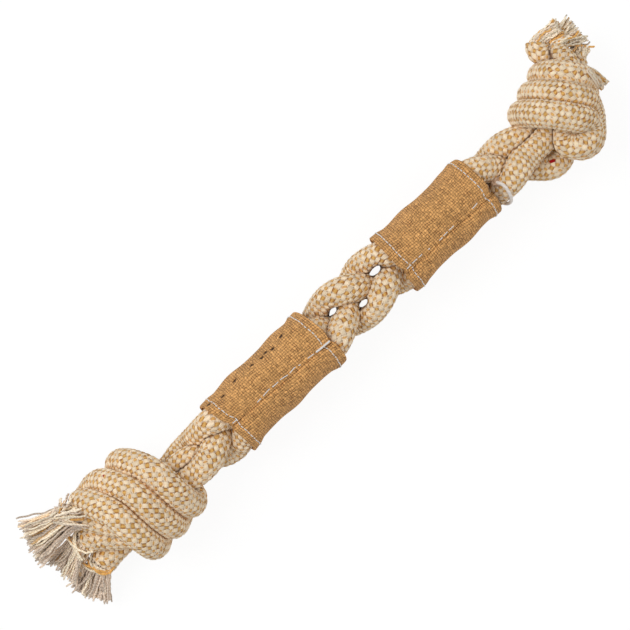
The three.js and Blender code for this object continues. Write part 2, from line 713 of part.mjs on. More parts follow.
const part = new THREE.Group();
part.name = "rope_dog_toy";
part.add(toy);
export default part;
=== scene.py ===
"""Rope dog toy: three braided ropes plaited together, knotted and frayed at both ends, with two
jute sleeves sewn round the plait as grips. Laid out as an add-on and run as a script."""

import json
import math

import bpy
import numpy as np
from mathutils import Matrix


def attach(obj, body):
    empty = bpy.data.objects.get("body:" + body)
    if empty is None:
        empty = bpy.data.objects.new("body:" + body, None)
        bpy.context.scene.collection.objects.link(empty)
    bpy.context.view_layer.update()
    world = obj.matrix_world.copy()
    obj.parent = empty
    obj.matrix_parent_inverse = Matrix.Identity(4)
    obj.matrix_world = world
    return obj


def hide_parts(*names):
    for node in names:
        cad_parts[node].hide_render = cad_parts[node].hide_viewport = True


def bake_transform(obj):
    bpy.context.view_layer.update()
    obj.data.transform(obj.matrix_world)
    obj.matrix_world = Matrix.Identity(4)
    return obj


bl_info = {
    "name": "Rope Dog Toy",
    "version": (1, 0, 0),
    "blender": (4, 5, 0),
    "location": "View3D > Sidebar > Rope toy",
    "description": "Dresses the rope dog toy with braided rope, frayed yarn, jute sleeves and stitching",
    "category": "Object",
}

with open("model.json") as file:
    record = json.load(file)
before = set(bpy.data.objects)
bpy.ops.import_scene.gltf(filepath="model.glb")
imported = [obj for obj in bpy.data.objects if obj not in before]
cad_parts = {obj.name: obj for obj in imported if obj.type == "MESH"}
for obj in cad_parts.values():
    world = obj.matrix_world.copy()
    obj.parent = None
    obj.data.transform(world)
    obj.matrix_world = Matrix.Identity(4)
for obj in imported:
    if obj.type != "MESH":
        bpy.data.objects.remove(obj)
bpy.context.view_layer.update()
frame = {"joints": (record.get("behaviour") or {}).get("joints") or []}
JOINTS = {joint["name"]: joint for joint in frame["joints"]}
PLAIT_ORIGIN = np.array(JOINTS["middle_bend"]["pos_m"])

TAU = 2 * math.pi
MM = 0.001
ROPE_COUNT = 3
SIDES = ("left", "right")
LEAST_HEIGHT = 0.05 * MM  # of any rope or yarn above the floor

# Routes of the ropes
PATH_STEP = 0.5 * MM  # between the points of a rope's middle line
PLAIT_POINTS = 16  # route points in one pitch of the plait
PASS_STEP = math.radians(60)  # between two passes of rope through a knot
MOUTH_SHARE = 0.4  # of a pass, over which it widens from the mouth to the core
LEAST_WIDTH = 0.45  # share of its width to which a knot may be drawn in
NECK_LEAD = 15 * MM  # over which a neck is led aside
CURVE_SAMPLES = 60  # on each span of a smooth curve
TOP_BLOCK = 200  # places over the ropes worked out at once
BEND_SPREAD = 4  # points to either side over which a bend is measured
ROUND_PASSES = 4  # times that the tightest bends are rounded
EVEN_FROM, EVEN_FULLY = 2 * MM, 8 * MM  # past a sleeve, where a neck starts to be evened out, and is fully
EVEN_UNTIL, EVEN_END = 30 * MM, 38 * MM  # where that starts to fade, and is over
ROUND_FROM, ROUND_FULLY = 1.0, 1.8  # rope's radius over that of a bend which is rounded a little, and fully
TIGHT_MOST = 0.6  # tightness of a bend up to which the braid lies closer
TIGHT_LAY = 0.9  # share of the tightness by which it does

# Soft radius of the ropes
PRESS_SIDES = 36  # directions in which it is worked out
PRESS_EVERY = 2  # points of the middle line from one row to the next
PRESS_BLOCK = 64  # rows worked out at once
BEND_SHARE = 0.9  # of the way to the centre of a bend that the inside of a rope may reach

# Meshes of the ropes
SEEN_COLUMNS, SEEN_STEP = 8, 1  # columns for each yarn of the braid, and points from ring to ring
HIDDEN_COLUMNS, HIDDEN_STEP = 3, 4  # the same inside the sleeves
CREAM_RISE, CREAM_HALF = 1.9, 0.6  # reliefs that a cream yarn's back rises, and half its width in cells
TAN_RISE, TAN_HALF = 1.6, 0.5  # the same of a tan one
CREAM_LEAD = 0.85  # reliefs by which the cream yarns lie higher
BRAID_MEAN = 2.7  # reliefs from the bottom of the braid to its mean
CREASE_FROM, CREASE_FULLY = 0.1 * MM, 1.0 * MM  # depth pressed in at which painted shade begins on the braid, and is deepest
FLARE, FLARE_LENGTH = 0.04, 4 * MM  # share by which an open end widens, and over which length

# Sleeves
STATION_STEP = 1 * MM  # between the places at which a sleeve is fitted to the ropes
STATION_MARGIN = 6 * MM  # past the ease, to either side of a sleeve
PLAIT_REACH = (-0.12, 0.115)  # stretch of the toy, in metres, whose ropes a sleeve lies on
HULL_FACINGS, HULL_SIDES = 120, 240  # directions in which the ropes' reach and the band are worked out
LEAST_FACING = 0.2  # cosine below which a rope's reach no longer holds the band out
FURROW_WIDTH, NOTCH_WIDTH = 2.4 * MM, 2.6 * MM  # of the seam's furrow and of the notches at its ends
LAP_CLIMB, LAP_RAMP = 0.62, math.radians(35)  # share of a layer that the upper edge climbs, and over what
LAP_DIP, DIP_RAMP = 0.38, math.radians(14)  # share that the hidden edge lies lower, and over what
CLOTH_STEP, CLOTH_COLUMNS = 0.5 * MM, 250  # between the rows of a sleeve's mesh, and its columns
FLAP_ROWS = 7  # in each turned hem
WALL_SHARE = 0.85  # of the cloth's thickness that the mesh takes up

# Stage
FLOOR_REACH = 30.0  # metres from the middle of the floor to its sides
FLOOR_GLOW, FLOOR_GLOW_SHARE = 1.05, 0.86  # strength of the floor's own white, and how much of it is seen
AMBIENT = 0.45  # strength of the even light all round
# Name, place and width in metres, and watts
LAMPS = (("key light", (-0.5, 0.75, 1.3), 1.0, 10.0), ("fill light", (0.9, -0.6, 1.2), 1.2, 3.2))
CAMERA_TARGET = np.array([-22.2, 9.8, 0]) * MM  # from the middle of the plait
SENSOR = 36  # millimetres

# How each knot lies, in degrees and millimetres. Its wraps stand a pitch apart, run square to the knot
# over the span, narrow towards the tail by the taper, are drawn in sideways to a share of their width
# that falls by narrow from the middle to the tail, and lean towards the tail on one side. Past the
# outer wraps all is crowded in to a share of its length. The ropes go in close to its axis, at the
# mouth, which lies aside of it, and its turns bulge at both ends. A rope that first swings out of the
# plait goes over the points of the detour. A tail is given by its cut end and the end of its fraying:
# out past the band, aside and up. Its loose yarns drape to a point of their own and spread there, and it
# has come undone a little further back. A third of the last tail's yarns drape to a second point.
KNOTS = {
    "left": {
        "heading": 182, "roll": 8, "hand": -1, "taper": -1, "offset": 3, "tail_heading": 173, "span": 132,
        "pitch": 14.6, "width": 1.0, "narrow": 0.0, "lean": 10, "mouth": 6.5, "mouth_aside": -6,
        "bulge": (0, 1, 1), "tail_bulge": 8, "crowd": 0.5, "neck_aside": 0, "detour": (),
        "rope": ((18, -18, 8), (20, -2.5, -1), (21, 12, -8)),
        "fray": ((44, -21, 3), (41, 0, -12), (38, 20, -17)),
        "drape": ((44.5, -19, 3), (42, 4, -12), (39, 22.5, -17)), "spread": (13, 12, 11), "undone": (8, 0, 0),
        "second": (),
    },
    "right": {
        "heading": 38, "roll": -40, "hand": 1, "taper": 3, "offset": 3, "tail_heading": 38, "span": 168,
        "pitch": 11.0, "width": 0.68, "narrow": 0.2, "lean": 0, "mouth": 6.5, "mouth_aside": 0,
        "bulge": (8, 8, 6), "tail_bulge": 5.5, "crowd": 1.0, "neck_aside": -3,
        "detour": ((116, -13, -6), (124.5, -20, -4), (135, -17, -6)),
        "rope": ((10, 16.5, 4), (9, 8, 3), (9, -6, -4)),
        "fray": ((16, 11, 3), (22, -3, -5), (7, -24, -9)),
        "drape": ((20, 5, 6), (21.5, -4, -1), (-5.7, -21.2, 4)), "spread": (6, 8.5, 3), "undone": (0, 1.5, 5),
        "second": (14, -8, 0),
    },
}


def srgb(red, green, blue):
    """The linear colour of an 8-bit display colour."""
    shown = np.array([red, green, blue]) / 255
    linear = np.where(shown < 0.04045, shown / 12.92, ((shown + 0.055) / 1.055) ** 2.4)
    return tuple(linear.tolist())


def length(name, description, millimetres):
    """A size property, in metres."""
    return bpy.props.FloatProperty(
        name=name, description=description, default=millimetres * MM, min=0, precision=5, unit="LENGTH",
    )


def angle(name, description, degrees):
    """An angle property, in radians."""
    return bpy.props.FloatProperty(
        name=name, description=description, default=math.radians(degrees), subtype="ANGLE", unit="ROTATION",
    )


def colour(name, description, red, green, blue):
    """A colour property."""
    return bpy.props.FloatVectorProperty(
        name=name, description=description, default=srgb(red, green, blue), min=0, max=1, subtype="COLOR",
    )


def count(name, description, default):
    """A whole-number property."""
    return bpy.props.IntProperty(name=name, description=description, default=default, min=1)


class RopeSettings(bpy.types.PropertyGroup):
    """Sizes of the ropes, the plait and the knots."""

    diameter: length("Rope diameter", "Across one braided rope", 15)
    pitch: length("Plait pitch", "Length after which a rope is back at the same edge", 94)
    swing: length("Plait swing", "Of a rope's middle line to either side", 9.2)
    rise: length("Plait rise", "Of a rope's middle line up and down", 8.6)
    phase: angle("Plait phase", "Sets where the ropes cross", 268)
    middle: length("Middle", "Bare plait between the sleeves", 50)
    left_sleeve: length("Left sleeve", "Length of the left sleeve", 72)
    right_sleeve: length("Right sleeve", "Length of the right sleeve", 67)
    left_neck: length("Left neck", "Bare plait from the left sleeve to its knot", 34.6)
    right_neck: length("Right neck", "Bare plait from the right sleeve to its knot", 41.5)
    neck_plait: length("Neck plait", "How far past a sleeve the ropes keep the plait's shape", 20)
    flex: length("Neck flex", "Part of a neck that bends", 17)
    core_radius: length("Core radius", "Circle on which the passes through a knot lie", 9.6)
    wrap_radius: length("Wrap radius", "Middle line of the wraps round a knot", 21.8)
    yarns: count("Braid yarns", "Carriers of each hand in the braid", 13)
    left_lay: length("Left lay", "Along a rope from one yarn to the next, up to the right sleeve", 3.95)
    right_lay: length("Right lay", "Along a rope from one yarn to the next, past the right sleeve", 3.4)
    relief: length("Braid relief", "Rise and fall of a yarn in the braid", 0.26)
    cream: colour("Cream yarn", "Yarn of the first hand", 251, 229, 196)
    tan: colour("Tan yarn", "Yarn of the second hand", 232, 182, 102)
    # Painted shade: the colour that the braid is drawn towards where a yarn goes down under the next and
    # where two yarns meet
    crevice_shade: colour("Crevice", "Between the yarns", 172, 104, 38)
    # Painted shade: the colour of the deepest corners between the yarns and of the places where ropes press
    # on each other
    gap: colour("Gap", "Deepest corners between the yarns", 112, 62, 22)
    fleck: colour("Fleck", "Stray red fibre", 176, 10, 20)


class YarnSettings(bpy.types.PropertyGroup):
    """Sizes and colours of the frayed ends."""

    diameter: length("Yarn diameter", "Across one loose yarn", 1.05)
    left_count: count("Left yarns", "Yarns in each left tail", 150)
    right_count: count("Right yarns", "Yarns in each right tail", 105)
    back_count: count("Turned yarns", "Yarns that turn back over the upper left tail", 46)
    curl_count: count("Curled yarns", "Yarns that curl across the end of each other tail", 9)
    grey: colour("Core yarn", "Undyed yarn from inside the rope", 248, 227, 206)
    cream: colour("Sheath yarn", "Cream yarn from the braid", 252, 238, 212)
    tan: colour("Tan yarn", "Tan yarn from the braid", 224, 172, 98)


class SleeveSettings(bpy.types.PropertyGroup):
    """Sizes and colours of the jute sleeves, their stitching and the tie."""

    thickness: length("Cloth thickness", "Of one layer of jute", 0.85)
    gap: length("Cloth gap", "Between the cloth and the ropes", 1.0)
    lap: length("Lap width", "One long edge lies over the other", 9)
    hem: length("Hem", "Turned under at each end", 7)
    ease: length("Ease", "How far the cloth smooths over the ropes", 17)
    furrow: length("Seam furrow", "Depth to which the seam draws the cloth in", 1.2)
    notch: length("Seam notch", "How far the seam draws in a sleeve's ends", 1.4)
    edge: length("Lap edge", "From the seam to the edge of the upper layer", 1.3)
    weave: length("Weave pitch", "Between two yarns of the jute", 1.38)
    left_seam: angle("Left seam", "Round the plait from the far side, at the sleeve's left end", 92)
    right_seam: angle("Right seam", "Round the plait from the far side, at the sleeve's left end", 110)
    left_seam_turn: angle("Left seam turn", "Along the sleeve", 13)
    right_seam_turn: angle("Right seam turn", "Along the sleeve", 3)
    stitch_row: length("Stitch row", "From a sleeve's end to its row of stitches", 4.8)
    thread: length("Thread diameter", "Across the sewing thread", 0.54)
    tie: length("Tie diameter", "Across the tie cord", 1.9)
    jute: colour("Jute", "Yarn of the cloth", 229, 172, 106)
    # Painted shade: the colour painted into the gaps between the cloth's yarns
    jute_gap_shade: colour("Dark jute", "Between the yarns of the cloth", 112, 56, 22)
    # Painted shade: the colour painted inside each old needle hole
    hole: colour("Needle hole", "Inside of an old needle hole", 58, 32, 14)
    thread_colour: colour("Thread", "Sewing thread", 255, 254, 251)
    tie_colour: colour("Tie", "Tie cord", 252, 244, 236)
    # Painted shade: a browner, deeper copy of the tie's colour for its knot, which lies in shade between two
    # ropes
    tie_knot: colour("Tie knot", "Soiled knot of the tie", 205, 170, 140)


class StageSettings(bpy.types.PropertyGroup):
    """Floor, light and camera."""

    floor: colour("Floor", "Colour of the floor", 252, 252, 252)
    distance: length("Camera distance", "From the camera to the plait", 1100)
    width: length("Frame width", "Seen across the picture at the plait", 333.3)
    turn: angle("Camera turn", "Turns the toy in the picture", -43.7)


# How far the left and right ends of a sleeve lie along the plait from their places: on top, how much
# less at both sides, and how much more at the far side alone, in millimetres
SLEEVE_ENDS = {"left": ((2.0, 2.4, -2.8), (0.4, 3.6, -1.2)), "right": ((1.4, 0.45, 0.35), (-2.5, 2.6, 0))}
NEEDLE_HOLES = (3, 11, 21, 33, 39.5, 43, 47, 55)  # along the left sleeve, in millimetres
NEEDLE_HOLE_TURN = math.radians(43)  # round the plait from the far side
NEEDLE_HOLE_STRAY = math.radians(3)  # to either side of that
NEEDLE_HOLE_LONG, NEEDLE_HOLE_WIDE = 1.7, 0.55  # squares of a hole's reach along and across, in millimetres
NEEDLE_HOLE_DEPTH = 0.5 * MM

# Where single ropes lie aside of the even plait: which rope, the place along the toy, half the length
# and the distance, in millimetres
SLACK = ((0, -107, 9, -5.5), (2, -111, 9, -3.0), (2, -3, 15, 3.0), (1, 8, 15, 2.6))
# Eyes that stay open in the middle of the plait: their middles and half sizes, in millimetres
EYES = ((-13.9, 4.7, 2.9, 1.9), (17.1, 4.65, 4.2, 2.1), (0.6, -3.5, 3.1, 1.8))

# Middle lines of the ropes


def band_half(side):
    """Half the width of the three wraps of a knot."""
    return ROPE_COUNT * KNOTS[side]["pitch"] * MM / 2


def sleeve_span(size, side):
    """Where a sleeve starts and ends along the plait, from the middle of the toy."""
    half = size.middle / 2
    return (-half - size.left_sleeve, -half) if side == "left" else (half, half + size.right_sleeve)


def knot_place(size, side):
    """Where the middle of a knot's band lies along the toy."""
    start, end = sleeve_span(size, side)
    if side == "left":
        return start - size.left_neck - band_half(side)
    return end + size.right_neck + band_half(side)


def plait_points(size, rope, x):
    """The plait: y is a sine of x, and z the negative sine of twice the angle, a third of a pitch
    apart for the three ropes."""
    turn = TAU * (x / size.pitch + rope / ROPE_COUNT) + size.phase
    return np.stack([x, size.swing * np.sin(turn), -size.rise * np.sin(2 * turn)], -1)


def on_knot(axial, radius, turn):
    """Points in a knot's own frame: along its axis, and out from it at an angle."""
    axial, radius, turn = np.broadcast_arrays(axial, radius, turn)
    return np.stack([axial, radius * np.cos(turn), radius * np.sin(turn)], -1).astype(float)


def knot_angles(size, side, place):
    """Angles round a knot's axis for the wrap in place 0, next to the plait, 1 or 2."""
    half = band_half(side)
    pitch = KNOTS[side]["pitch"] * MM
    span = math.radians(KNOTS[side]["span"])
    wrap_start = (math.pi - span) / 2
    wrap_end = (math.pi + span) / 2
    lane_out = half - (place - 1) * pitch
    lane_in = half + (place - 1) * pitch
    middle_out = wrap_start - half / size.wrap_radius
    middle_in = wrap_end + half / size.wrap_radius
    step = (place - 1) * PASS_STEP
    return {
        "wrap_start": wrap_start, "wrap_end": wrap_end, "lane_out": lane_out, "lane_in": lane_in,
        "twist": middle_in - middle_out - math.pi,
        "turn_out": wrap_start - lane_out / size.wrap_radius,
        "turn_in": wrap_end + lane_in / size.wrap_radius,
        "first": middle_out + step, "second": middle_out + math.pi + step,
    }


def knot_route(size, side, place):
    """Route of one rope through a knot, from the plait to the tail: through the core, back over a
    turn, round the core in its own place, back over a turn, and out through the core."""
    knot = KNOTS[side]
    at = knot_angles(size, side, place)
    half = band_half(side)
    radius = size.wrap_radius

    def wrapped(axial, turn):
        return on_knot(axial, radius - knot["taper"] * MM * axial / half, turn)

    def core_pass(turn, entry):
        share = np.linspace(0, 1, 6)
        drawn_in = (entry - size.core_radius) * np.clip(1 - share / MOUTH_SHARE, 0, 1)
        return on_knot(half * (2 * share - 1), size.core_radius + drawn_in, turn + at["twist"] * (1 - share))

    def turn_back(start, end, bulge):
        bend = np.linspace(0, math.pi, 7)[1:-1, None]
        points = start + (end - start) * (1 - np.cos(bend)) / 2
        return points + np.array([bulge, 0, 0]) * np.sin(bend)

    bend = np.linspace(0, math.pi / 2, 6)
    lane_out = wrapped(
        half - at["lane_out"] * np.sin(bend), at["wrap_start"] - at["lane_out"] / radius * np.cos(bend),
    )
    lane_in = wrapped(
        at["lane_in"] * np.cos(bend) - half, at["wrap_end"] + at["lane_in"] / radius * np.sin(bend),
    )
    wrap_turns = np.linspace(at["wrap_start"], at["wrap_end"], 9)[1:-1]
    wrap = wrapped((place - 1) * knot["pitch"] * MM, wrap_turns)
    first_turn = turn_back(
        on_knot(half, size.core_radius, at["first"]), wrapped(half, at["turn_out"]), knot["tail_bulge"] * MM,
    )
    second_turn = turn_back(
        wrapped(-half, at["turn_in"]), on_knot(-half, size.core_radius, at["second"] + at["twist"]),
        -knot["bulge"][place] * MM,
    )
    return np.vstack([
        core_pass(at["first"], knot["mouth"] * MM), first_turn, lane_out, wrap, lane_in, second_turn,
        core_pass(at["second"], size.core_radius),
    ])


def turned(points, axis, turn):
    """Points turned about X (axis 0) or Z (axis 2)."""
    first, second = (1, 2) if axis == 0 else (0, 1)
    made = points.copy()
    made[..., first] = points[..., first] * math.cos(turn) - points[..., second] * math.sin(turn)
    made[..., second] = points[..., first] * math.sin(turn) + points[..., second] * math.cos(turn)
    return made


def place_knot(size, side, points):
    """Puts a knot's own points where the knot lies on the toy."""
    knot = KNOTS[side]
    half = band_half(side)
    placed = turned(points, 0, math.radians(knot["roll"]))
    pitch = knot["pitch"] * MM
    past = placed[..., 0] - np.clip(placed[..., 0], -pitch, pitch)
    placed[..., 0] -= (1 - knot["crowd"]) * past
    axial = placed[..., 0] / half
    placed[..., 1] *= knot["hand"] * np.clip(
        knot["width"] - knot["narrow"] * axial, LEAST_WIDTH, knot["width"] + knot["narrow"] / 2,
    )
    placed[..., 2] -= knot["taper"] * MM * axial
    placed[..., 0] += knot["lean"] * MM * (np.maximum(-placed[..., 1], 0) / size.wrap_radius) ** 2
    placed = turned(placed, 2, math.radians(knot["heading"]))
    placed[..., 0] += knot_place(size, side)
    placed[..., 1] += knot["offset"] * MM
    return placed


def tail_points(size, side, place):
    """Cut end of the rope in one place, the end of its fraying and where its loose yarns drape to, then
    the second point of the last tail."""
    knot = KNOTS[side]
    heading = math.radians(knot["tail_heading"])
    along = np.array([math.cos(heading), math.sin(heading), 0])
    across = np.array([-along[1], along[0], 0])
    start = place_knot(size, side, on_knot(band_half(side), 0, 0))
    spots = []
    ends = [knot["rope"][place], knot["fray"][place], knot["drape"][place]]
    if knot["second"]:
        ends.append(knot["second"])
    for out, aside, up in ends:
        spot = start + (along * out + across * aside) * MM
        spot[2] = up * MM
        spots.append(spot)
    return np.array(spots)


def knot_entry(size, side, place):
    """The placed route of one rope through a knot, with its mouth aside or a detour before it."""
    knot = KNOTS[side]
    route = place_knot(size, side, knot_route(size, side, place))
    if place == 0 and knot["detour"]:
        return np.vstack([np.array(knot["detour"]) * MM, route[2:]])
    route[:3, 1] += knot["mouth_aside"] * MM * np.array([1, 2 / 3, 1 / 3])
    return route


def neck_points(size, rope, x):
    """The plait, led aside in a neck towards the mouth of its knot."""
    points = plait_points(size, rope, x)
    past = {"left": sleeve_span(size, "left")[0] - x, "right": x - sleeve_span(size, "right")[1]}
    for side in SIDES:
        points[..., 1] += KNOTS[side]["neck_aside"] * MM * smooth_share(past[side], 0, NECK_LEAD)
    return points


def knot_order(size, side, x):
    """The places of the ropes in a knot that move them least from where the plait ends."""
    orders = [(0, 1, 2), (0, 2, 1), (1, 0, 2), (1, 2, 0), (2, 0, 1), (2, 1, 0)]

    def cost(order):
        total = 0
        for rope, place in enumerate(order):
            entry = knot_entry(size, side, place)[0]
            total += np.sum((entry - neck_points(size, rope, np.array(x)))[1:] ** 2)
        return total

    return min(orders, key=cost)


def smooth_curve(points, step):
    """A centripetal Catmull-Rom curve through points: on each span a cubic with the tangents of the
    square-root chord spacing. Returns points one step apart along it."""
    padded = np.vstack([2 * points[0] - points[1], points, 2 * points[-1] - points[-2]])
    gaps = np.linalg.norm(np.diff(padded, axis=0), axis=1)[:, None] ** 0.5
    before, start, end, after = padded[:-3], padded[1:-2], padded[2:-1], padded[3:]
    gap_before, gap, gap_after = gaps[:-2], gaps[1:-1], gaps[2:]
    leave = ((start - before) / gap_before - (end - before) / (gap_before + gap) + (end - start) / gap) * gap
    arrive = ((end - start) / gap - (after - start) / (gap + gap_after) + (after - end) / gap_after) * gap
    t = np.linspace(0, 1, CURVE_SAMPLES, endpoint=False)[None, :, None]
    dense = (
        start[:, None] * (2 * t**3 - 3 * t**2 + 1) + leave[:, None] * (t**3 - 2 * t**2 + t)
        + end[:, None] * (3 * t**2 - 2 * t**3) + arrive[:, None] * (t**3 - t**2)
    ).reshape(-1, 3)
    return spaced(np.vstack([dense, points[-1]]), step)


def run_along(points):
    """Distance along a line, or along each of many, to each of its points."""
    steps = np.linalg.norm(np.diff(points, axis=-2, prepend=points[..., :1, :]), axis=-1)
    return np.cumsum(steps, axis=-1)


def round_about(normals, across, turns):
    """Directions out from a line: at each of its points, one for each angle from the normal."""
    return normals[..., None, :] * np.cos(turns)[:, None] + across[..., None, :] * np.sin(turns)[:, None]


def grid_value(grid, row, column):
    """Values between the points of a grid in straight lines. Its columns go round."""
    row = np.clip(row, 0, len(grid) - 1.001)
    low, left = row.astype(int), np.floor(column).astype(int)
    share, part = row - low, column - left
    left, right = left % grid.shape[1], (left + 1) % grid.shape[1]
    near = grid[low, left] * (1 - part) + grid[low, right] * part
    far = grid[low + 1, left] * (1 - part) + grid[low + 1, right] * part
    return near * (1 - share) + far * share


def spaced(points, step):
    """Points one step apart along a line."""
    along = run_along(points)
    even = np.linspace(0, along[-1], max(2, round(along[-1] / step) + 1))
    return np.stack([np.interp(even, along, points[:, k]) for k in range(3)], -1)


def unit(vectors):
    """Vectors scaled to length one."""
    return vectors / np.maximum(np.linalg.norm(vectors, axis=-1, keepdims=True), 1e-12)


def carried_normals(tangents, first):
    """Normals carried along a line without twist: each is the last one less its part along the line."""
    normals = np.empty_like(tangents)
    normal = np.array(first, float)
    for i, tangent in enumerate(tangents):
        normal = normal - tangent * np.dot(normal, tangent)
        normal = normal / np.linalg.norm(normal)
        normals[i] = normal
    return normals


def soften(field, rows, columns):
    """A grid of values averaged with bell-shaped weights, along its rows and round its columns, or rows
    of points averaged along a line."""
    for axis, spread in ((0, rows), (1, columns)):
        if spread == 0:
            continue
        reach = int(math.ceil(3 * spread))
        offsets = np.arange(-reach, reach + 1)
        weights = np.exp(-0.5 * (offsets / spread) ** 2)
        weights /= weights.sum()
        if axis == 0:
            padded = np.pad(field, ((reach, reach), (0, 0)), mode="edge")
            field = sum(w * padded[k:k + len(field)] for k, w in enumerate(weights))
        else:
            field = sum(w * np.roll(field, offset, axis=1) for w, offset in zip(weights, offsets))
    return field


class RopeLine:
    """One rope: its middle line, the frame along it, its cuts and its soft radius all round."""

    def __init__(self, size, rope, places):
        self.rope = rope
        self.places = places
        ends = {}
        for side in SIDES:
            knot = knot_entry(size, side, places[side])
            ends[side] = np.vstack([knot, tail_points(size, side, places[side])[:2]])
        start = sleeve_span(size, "left")[0] - size.neck_plait
        end = sleeve_span(size, "right")[1] + size.neck_plait
        stations = np.linspace(start, end, math.ceil((end - start) / size.pitch * PLAIT_POINTS))
        route = np.vstack([ends["left"][::-1], neck_points(size, rope, stations), ends["right"]])
        self.points = smooth_curve(route, PATH_STEP)
        self.slacken(size)
        self.tangents = unit(np.gradient(self.points, axis=0))
        self.normals = carried_normals(self.tangents, (0, 0, 1))
        self.across = np.cross(self.tangents, self.normals)
        padded = np.pad(self.tangents, ((BEND_SPREAD, BEND_SPREAD), (0, 0)), mode="edge")
        self.bends = (padded[2 * BEND_SPREAD:] - padded[:-2 * BEND_SPREAD]) / (2 * BEND_SPREAD * PATH_STEP)
        self.tails = {}
        for side in SIDES:
            away = self.points - tail_points(size, side, places[side])[0]
            self.tails[side] = int(np.argmin(np.linalg.norm(away, axis=1)))
        tight = np.minimum(np.linalg.norm(self.bends, axis=1) * size.diameter / 2, TIGHT_MOST)
        lay = np.interp(self.points[:, 0], sleeve_span(size, "right"), (size.left_lay, size.right_lay))
        self.braid_run = np.cumsum((1 + TIGHT_LAY * tight) * PATH_STEP / lay)

    def slacken(self, size):
        """Moves the middle line aside where the rope hangs loose, rounds its tightest bends and evens it
        out in the necks."""
        x = self.points[:, 0] / MM
        for rope, place, half, aside in SLACK:
            if rope == self.rope:
                self.points[:, 1] += aside * MM * np.exp(-(((x - place) / half) ** 2))
        for _ in range(ROUND_PASSES):
            tangents = unit(np.gradient(self.points, axis=0))
            bend = np.linalg.norm(np.gradient(tangents, axis=0), axis=1) / PATH_STEP * size.diameter / 2
            tight = np.minimum(2 * soften(smooth_share(bend, ROUND_FROM, ROUND_FULLY)[:, None], 6, 0), 1)
            self.points += (soften(self.points, 5, 0) - self.points) * tight
        even = soften(self.points, 10, 0)
        run = np.arange(len(x)) * PATH_STEP
        for edge, outward in ((sleeve_span(size, "left")[0], -1), (sleeve_span(size, "right")[1], 1)):
            past = outward * (run - run[self.at_x(edge)])
            share = smooth_share(past, EVEN_FROM, EVEN_FULLY) * (1 - smooth_share(past, EVEN_UNTIL, EVEN_END))
            self.points += (even - self.points) * share[:, None]
        self.points = spaced(self.points, PATH_STEP)

    def at_x(self, x):
        """The index of the point that is at x, going from the middle of the toy towards one end."""
        past = np.nonzero(self.points[:, 0] > 0)[0][0]
        if x > 0:
            return past + int(np.argmax(self.points[past:, 0] >= x))
        return past - int(np.argmax(self.points[past::-1, 0] <= x))

    def press(self, size, lines):
        """Soft radius: the full one, or the distance to the plane half-way to a rope that presses on
        this one, or nearly the radius of the bend on its inside."""
        radius = size.diameter / 2
        chosen = np.arange(0, len(self.points), PRESS_EVERY)
        turns = np.linspace(0, TAU, PRESS_SIDES, endpoint=False)
        out = round_about(self.normals[chosen], self.across[chosen], turns)
        inside = np.einsum("nmk,nk->nm", out, self.bends[chosen])
        limit = np.minimum(radius, BEND_SHARE / np.maximum(inside, 1e-6))
        for eye in EYES:
            limit = np.minimum(limit, self.to_eye(chosen, out, eye))
        clear = size.diameter / 4 / PATH_STEP
        for other in lines:
            others = other.points[::PRESS_EVERY]
            for start in range(0, len(chosen), PRESS_BLOCK):
                block = slice(start, start + PRESS_BLOCK)
                away = others[None] - self.points[chosen[block], None]
                distance = np.linalg.norm(away, axis=2)
                near = distance < 2 * radius
                if other is self:
                    apart = np.abs(np.arange(len(others))[None] * PRESS_EVERY - chosen[block, None])
                    near &= apart > clear
                columns = near.any(0)
                if not columns.any():
                    continue
                facing = np.einsum("nmk,nqk->nmq", out[block], away[:, columns])
                plane = distance[:, None, columns] ** 2 / (2 * np.maximum(facing, 1e-9))
                plane[~np.broadcast_to(near[:, None, columns], plane.shape)] = 1
                limit[block] = np.minimum(limit[block], plane.min(2))
        self.reach = soften(limit, 1.3, 1.1)

    def to_eye(self, chosen, out, eye):
        """Distance from points of the middle line to the wall of an eye in given directions: the nearer
        crossing of a line with an ellipse, and one metre where there is none."""
        half = np.array(eye[2:]) * MM
        away = (self.points[chosen, None, :2] - np.array(eye[:2]) * MM) / half
        ahead = out[..., :2] / half
        across = np.sum(ahead**2, -1)
        towards = np.sum(away * ahead, -1)
        inside = towards**2 - across * (np.sum(away**2, -1) - 1)
        reach = (-towards - np.sqrt(np.maximum(inside, 0))) / np.maximum(across, 1e-9)
        return np.where((inside > 0) & (reach > 0), reach, 1)

    def radii(self, indices, turns):
        """The soft radius at given points and angles, between the worked-out ones in straight lines."""
        return grid_value(self.reach, indices[:, None] / PRESS_EVERY, turns[None] / TAU * PRESS_SIDES)


def top_of(points, radius, spots):
    """Height of the upper side of ropes of one radius over places in the floor's plane; far down where
    there is none."""
    best = np.full(len(spots), -1.0)
    for start in range(0, len(spots), TOP_BLOCK):
        block = slice(start, start + TOP_BLOCK)
        away = np.sum((points[:, None, :2] - spots[None, block, :2]) ** 2, axis=2)
        room = radius**2 - away
        best[block] = np.where(room > 0, points[:, None, 2] + np.sqrt(np.maximum(room, 0)), -1).max(0)
    return best


_layouts = {}


def rope_lines(size):
    """The three ropes with their soft radii, worked out once for each set of sizes."""
    key = tuple(round(getattr(size, name), 7) for name in (
        "diameter", "pitch", "swing", "rise", "phase", "middle", "left_sleeve", "right_sleeve", "left_neck",
        "right_neck", "neck_plait", "core_radius", "wrap_radius", "left_lay", "right_lay",
    ))
    if key not in _layouts:
        left = knot_order(size, "left", sleeve_span(size, "left")[0] - size.neck_plait)
        right = knot_order(size, "right", sleeve_span(size, "right")[1] + size.neck_plait)
        lines = [RopeLine(size, k, {"left": left[k], "right": right[k]}) for k in range(ROPE_COUNT)]
        for line in lines:
            line.press(size, lines)
        _layouts[key] = lines
    return _layouts[key]


# Meshes


